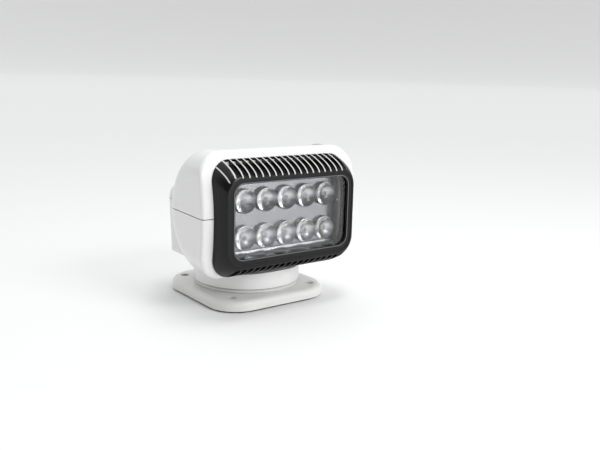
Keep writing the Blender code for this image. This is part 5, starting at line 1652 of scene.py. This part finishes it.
    def build(self) -> None:
        """Make the bezel and its screws."""
        self.shop.piece("bezel_casting", self.shape(), "head", BEZEL_BLACK, "black_bezel", ["bezel"])
        for name in ("lower_left", "upper_left", "lower_right", "upper_right"):
            node = "bezel_screw_" + name
            low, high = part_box(node)
            seat = Vector(((low.x + high.x) / 2, high.y - 1.8 * MM, (low.z + high.z) / 2))
            screw = Screw(head_radius=2.5 * MM, length=(high.y - low.y) - 1.8 * MM).shape(seat, Vector((0, 1, 0)))
            self.shop.piece("bezel_fixing_" + name, screw, "head", STEEL, "steel", [node])


@dataclass
class LightEngine:
    """Clear window, ten dome optics on their silver plate, and the board of emitters behind them."""

    shop: Workshop
    columns: int = 5
    pitch: float = 26.0 * MM
    height: float = 9.4 * MM
    bowl: float = 4.6 * MM
    spigot: float = 10.0 * MM
    shoulder: float = -71.7 * MM
    foot: float = -70.6 * MM
    plate_front: float = -71.4 * MM
    plate_back: float = -70.2 * MM
    plate_half: float = 65.8 * MM
    plate_low: float = 66.0 * MM
    plate_high: float = 140.0 * MM

    def places(self) -> list[Vector]:
        """Centres of the optics on the board, upper row first.

        Returns:
            The centres.
        """
        spots = []
        for row in (1, -1):
            for column in range(self.columns):
                x = (column - (self.columns - 1) / 2) * self.pitch
                spots.append(Vector((x, 0.0, OPTIC_MIDDLE + row * OPTIC_ROW_PITCH / 2)))
        return spots

    def bowl_curve(self, grow: float) -> list[Point]:
        """Half section of an optic's back, from its rim to its foot.

        Args:
            grow: How far it is moved outwards.

        Returns:
            Radius and height of each point.
        """
        rim, foot = OPTIC_RADIUS - 0.5 * MM, 2.4 * MM
        points = []
        for step in range(15):
            share = step / 14
            radius = rim + (foot - rim) * share
            level = self.bowl * (1 - share) ** 1.7
            points.append((radius + grow, level - 0.5 * grow))
        return points

    def optic(self, spot: Vector) -> Shape:
        """Dome lens with a curved back and a cup for its emitter.

        Args:
            spot: Centre of the optic.

        Returns:
            The shape.
        """
        start = self.bowl + 0.4 * MM
        front = arc_points((0.0, start), (OPTIC_RADIUS - 0.5 * MM, self.height - self.bowl - 0.4 * MM), 90, 0, 18)
        front[0] = (0.0, self.height)
        cup = arc_points((0.0, 0.0), (1.4 * MM, 0.8 * MM), 0, 90, 8)
        cup[-1] = (0.0, 0.8 * MM)
        return turned(front + self.bowl_curve(0.0) + cup, 56, Vector((spot.x, self.shoulder, spot.z)), AHEAD)

    def bowls(self) -> Shape:
        """Ten thin silvered bowls that the optics sit in.

        Returns:
            The shape.
        """
        inner, outer = self.bowl_curve(0.06 * MM), self.bowl_curve(0.4 * MM)
        profile = [(u, v + 0.03 * MM) for u, v in inner] + outer[::-1]
        return joined([turned(profile, 56, Vector((spot.x, self.shoulder, spot.z)), AHEAD) for spot in self.places()])

    def plate(self) -> Shape:
        """Silver plate with a rolled edge and a stepped seat round each optic.

        Returns:
            The shape.
        """
        outline = box_corners(self.plate_half, self.plate_low, self.plate_high, 6.0 * MM)
        shape = slab(outline, front_view(self.plate_front), front_view(self.plate_back), 8)
        limit = self.plate_front + 0.02 * MM
        rounded(shape, 0.5 * MM, 4, lambda edge: all(vert.co.y < limit for vert in edge.verts))
        profile = [(0.0, 3 * MM), (13.4 * MM, 3 * MM), (12.95 * MM, 0.02 * MM), (12.6 * MM, -0.3 * MM),
                   (self.spigot + 0.4 * MM, -0.4 * MM), (self.spigot + 0.3 * MM, -8 * MM), (0.0, -8 * MM)]
        for spot in self.places():
            shape = carved(shape, turned(profile, 48, Vector((spot.x, self.plate_front, spot.z)), AHEAD))
        return shape

    def strip(self) -> Shape:
        """Curved silver strip along the foot of the plate, between it and the window.

        Returns:
            The shape.
        """
        curve = arc_points((self.plate_front - 13.3 * MM, 68.6 * MM), (13.0 * MM, 5.9 * MM), 0, -90, 12)
        outline = curve + [(u, v - 0.3 * MM) for u, v in reversed(curve)]
        return slab([(u, v, 0) for u, v in outline], side_view(-66 * MM), side_view(66 * MM), 1)

    def emitters(self) -> Shape:
        """Ten small domed emitters on the board.

        Returns:
            The shape.
        """
        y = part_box("led_board")[0].y - 0.02 * MM
        dome = arc_points((0.0, 0.3 * MM), (1.3 * MM, 0.65 * MM), 80, 0, 6)
        profile = [(0.0, 0.95 * MM)] + dome + [(1.3 * MM, 0.0), (0.0, 0.0)]
        return joined([turned(profile, 20, Vector((spot.x, y, spot.z)), AHEAD) for spot in self.places()])

    def build(self) -> None:
        """Make the light engine's pieces and dress its CAD nodes."""
        for index, spot in enumerate(self.places(), start=1):
            self.shop.piece(f"dome_optic_{index}", self.optic(spot), "head", OPTIC_CLEAR, "clear_optic",
                            [f"optic_{index}"])
        self.shop.piece("silver_plate", self.plate(), "head", SILVER, "reflector", ["reflector_plate"])
        self.shop.piece("optic_bowls", self.bowls(), "head", BOWL_SILVER, "reflector")
        self.shop.piece("lower_reflector", self.strip(), "head", MIRROR, "reflector")
        self.shop.piece("emitters", self.emitters(), "head", PHOSPHOR, "circuit_white")
        self.shop.dress("lens", LENS_CLEAR)
        self.shop.dress("lens_gasket", RUBBER)
        self.shop.dress("led_board", BOARD_WHITE)
        self.shop.dress("heat_spreader", ANODISED)


@dataclass
class Studio:
    """Pale sweep of floor and backdrop, soft lights and the camera."""

    floor_colour: tuple[float, float, float] = (0.56, 0.56, 0.557)
    near_colour: Colour = (0.88, 0.88, 0.875)
    floor_glow: float = 0.58
    near: float = 0.08
    far: float = 0.30
    floor_radius: float = 20.0
    bend: float = 6.0
    dim_sky: float = 0.12
    seen_sky: float = 0.86
    camera_place: Vector = field(default_factory=lambda: Vector((-0.4478, -0.6837, 0.2520)))
    camera_right: Vector = field(default_factory=lambda: Vector((0.7962, -0.6046, 0.0250)))
    camera_up: Vector = field(default_factory=lambda: Vector((0.1059, 0.1800, 0.9779)))
    camera_back: Vector = field(default_factory=lambda: Vector((-0.5957, -0.7760, 0.2073)))
    lens: float = 43.347

    def sweep(self) -> None:
        """Floor that curves up into a backdrop, wide enough for any view."""
        shape = bmesh.new()
        profile = [(0.0, 0.0)] + arc_points((self.floor_radius, self.bend), (self.bend, self.bend), 270, 350, 16)
        verts = [shape.verts.new((u, 0.0, v)) for u, v in profile]
        edges = [shape.edges.new(pair) for pair in zip(verts, verts[1:])]
        bmesh.ops.spin(shape, geom=verts + edges, cent=ORIGIN, axis=UP, angle=math.tau, steps=96, use_merge=True)
        bmesh.ops.remove_doubles(shape, verts=shape.verts, dist=0.01 * MM)
        bmesh.ops.recalc_face_normals(shape, faces=shape.faces)
        mesh = bpy.data.meshes.new("studio_floor")
        shape.to_mesh(mesh)
        shape.free()
        mesh.shade_smooth()
        mesh.materials.append(self.floor_finish())
        floor = bpy.data.objects.new("studio_floor", mesh)
        bpy.context.scene.collection.objects.link(floor)

    def floor_finish(self) -> bpy.types.Material:
        """Pale material that glows faintly away from the light, so that no shadow reaches the horizon.

        Returns:
            The material.
        """
        material = bpy.data.materials.new("studio_floor")
        material.use_nodes = True
        tree, shader = Tree(material.node_tree), material.node_tree.nodes["Principled BSDF"]
        place = tree.place()
        bright = tuple(min(1.0, part * 1.01) for part in self.floor_colour)
        cloud = tree.mix(tree.noise(place, 3.0, 3.0), self.floor_colour, bright)
        away = tree.ramp(tree.length(place), self.near, self.far)
        tree.link(tree.mix(away, self.near_colour, cloud), shader.inputs["Base Color"])
        tree.link(tree.mix(away, (0.0, 0.0, 0.0), self.floor_colour), shader.inputs["Emission Color"])
        shader.inputs["Roughness"].default_value = 0.7
        shader.inputs["Emission Strength"].default_value = self.floor_glow
        return material

    def lamp(self, name: str, place: Vector, aim: Vector, size: tuple[float, float], power: float) -> None:
        """Soft rectangular light.

        Args:
            name: Its name.
            place: Where it hangs.
            aim: Point that it faces.
            size: Its width and height.
            power: Its power in watts.
        """
        light = bpy.data.lights.new(name, "AREA")
        light.shape = "RECTANGLE"
        light.size, light.size_y = size
        light.energy = power
        thing = bpy.data.objects.new(name, light)
        thing.location = place
        thing.rotation_euler = (aim - place).to_track_quat("-Z", "Y").to_euler()
        bpy.context.scene.collection.objects.link(thing)

    def build(self) -> None:
        """Set the floor, the lights, the world and the camera."""
        self.sweep()
        aim = Vector((0.0, 0.0, 0.09))
        self.lamp("overhead_softbox", Vector((0.10, -0.15, 1.2)), aim, (0.5, 0.3), 3.0)
        self.lamp("key_softbox", Vector((0.35, -1.5, 1.0)), aim, (0.7, 0.5), 13.5)
        self.lamp("low_softbox", Vector((0.30, -1.3, 0.10)), Vector((0.0, 0.0, 0.03)), (0.8, 0.16), 1.1)
        world = bpy.data.worlds.new("studio")
        world.use_nodes = True
        background = world.node_tree.nodes["Background"]
        background.inputs["Color"].default_value = (0.98, 0.99, 1.0, 1.0)
        tree = Tree(world.node_tree)
        parts = tree.add("ShaderNodeSeparateXYZ", {0: tree.add("ShaderNodeTexCoord").outputs["Generated"]})
        facing = tree.math("MULTIPLY_ADD", parts.outputs["X"], 0.9, parts.outputs["Y"])
        dim = tree.math("MULTIPLY", tree.ramp(facing, -0.1, -0.7), tree.ramp(parts.outputs["Z"], 0.84, 0.72))
        seen = tree.math("MULTIPLY", tree.add("ShaderNodeLightPath").outputs["Is Camera Ray"], self.seen_sky)
        tree.link(tree.math("MAXIMUM", tree.ramp(dim, 0.0, 1.0, 1.0, self.dim_sky), seen),
                  background.inputs["Strength"])
        bpy.context.scene.world = world
        bpy.context.scene.view_settings.view_transform = "Standard"
        data = bpy.data.cameras.new("camera")
        data.sensor_width = 36.0
        data.sensor_fit = "HORIZONTAL"
        data.lens = self.lens
        data.clip_start = 0.01
        camera = bpy.data.objects.new("camera", data)
        turn = Matrix((self.camera_right, self.camera_up, self.camera_back)).transposed().to_4x4()
        camera.matrix_world = Matrix.Translation(self.camera_place) @ turn
        bpy.context.scene.collection.objects.link(camera)
        bpy.context.scene.camera = camera


def main() -> None:
    """Set the studio, then build the light from its base up."""
    logging.basicConfig(level=logging.INFO, format="%(message)s")
    Studio().build()
    shop = Workshop()
    for assembly in (Base(shop), Turret(shop), Housing(shop), Bezel(shop), LightEngine(shop)):
        assembly.build()


if __name__ == "__main__":
    main()
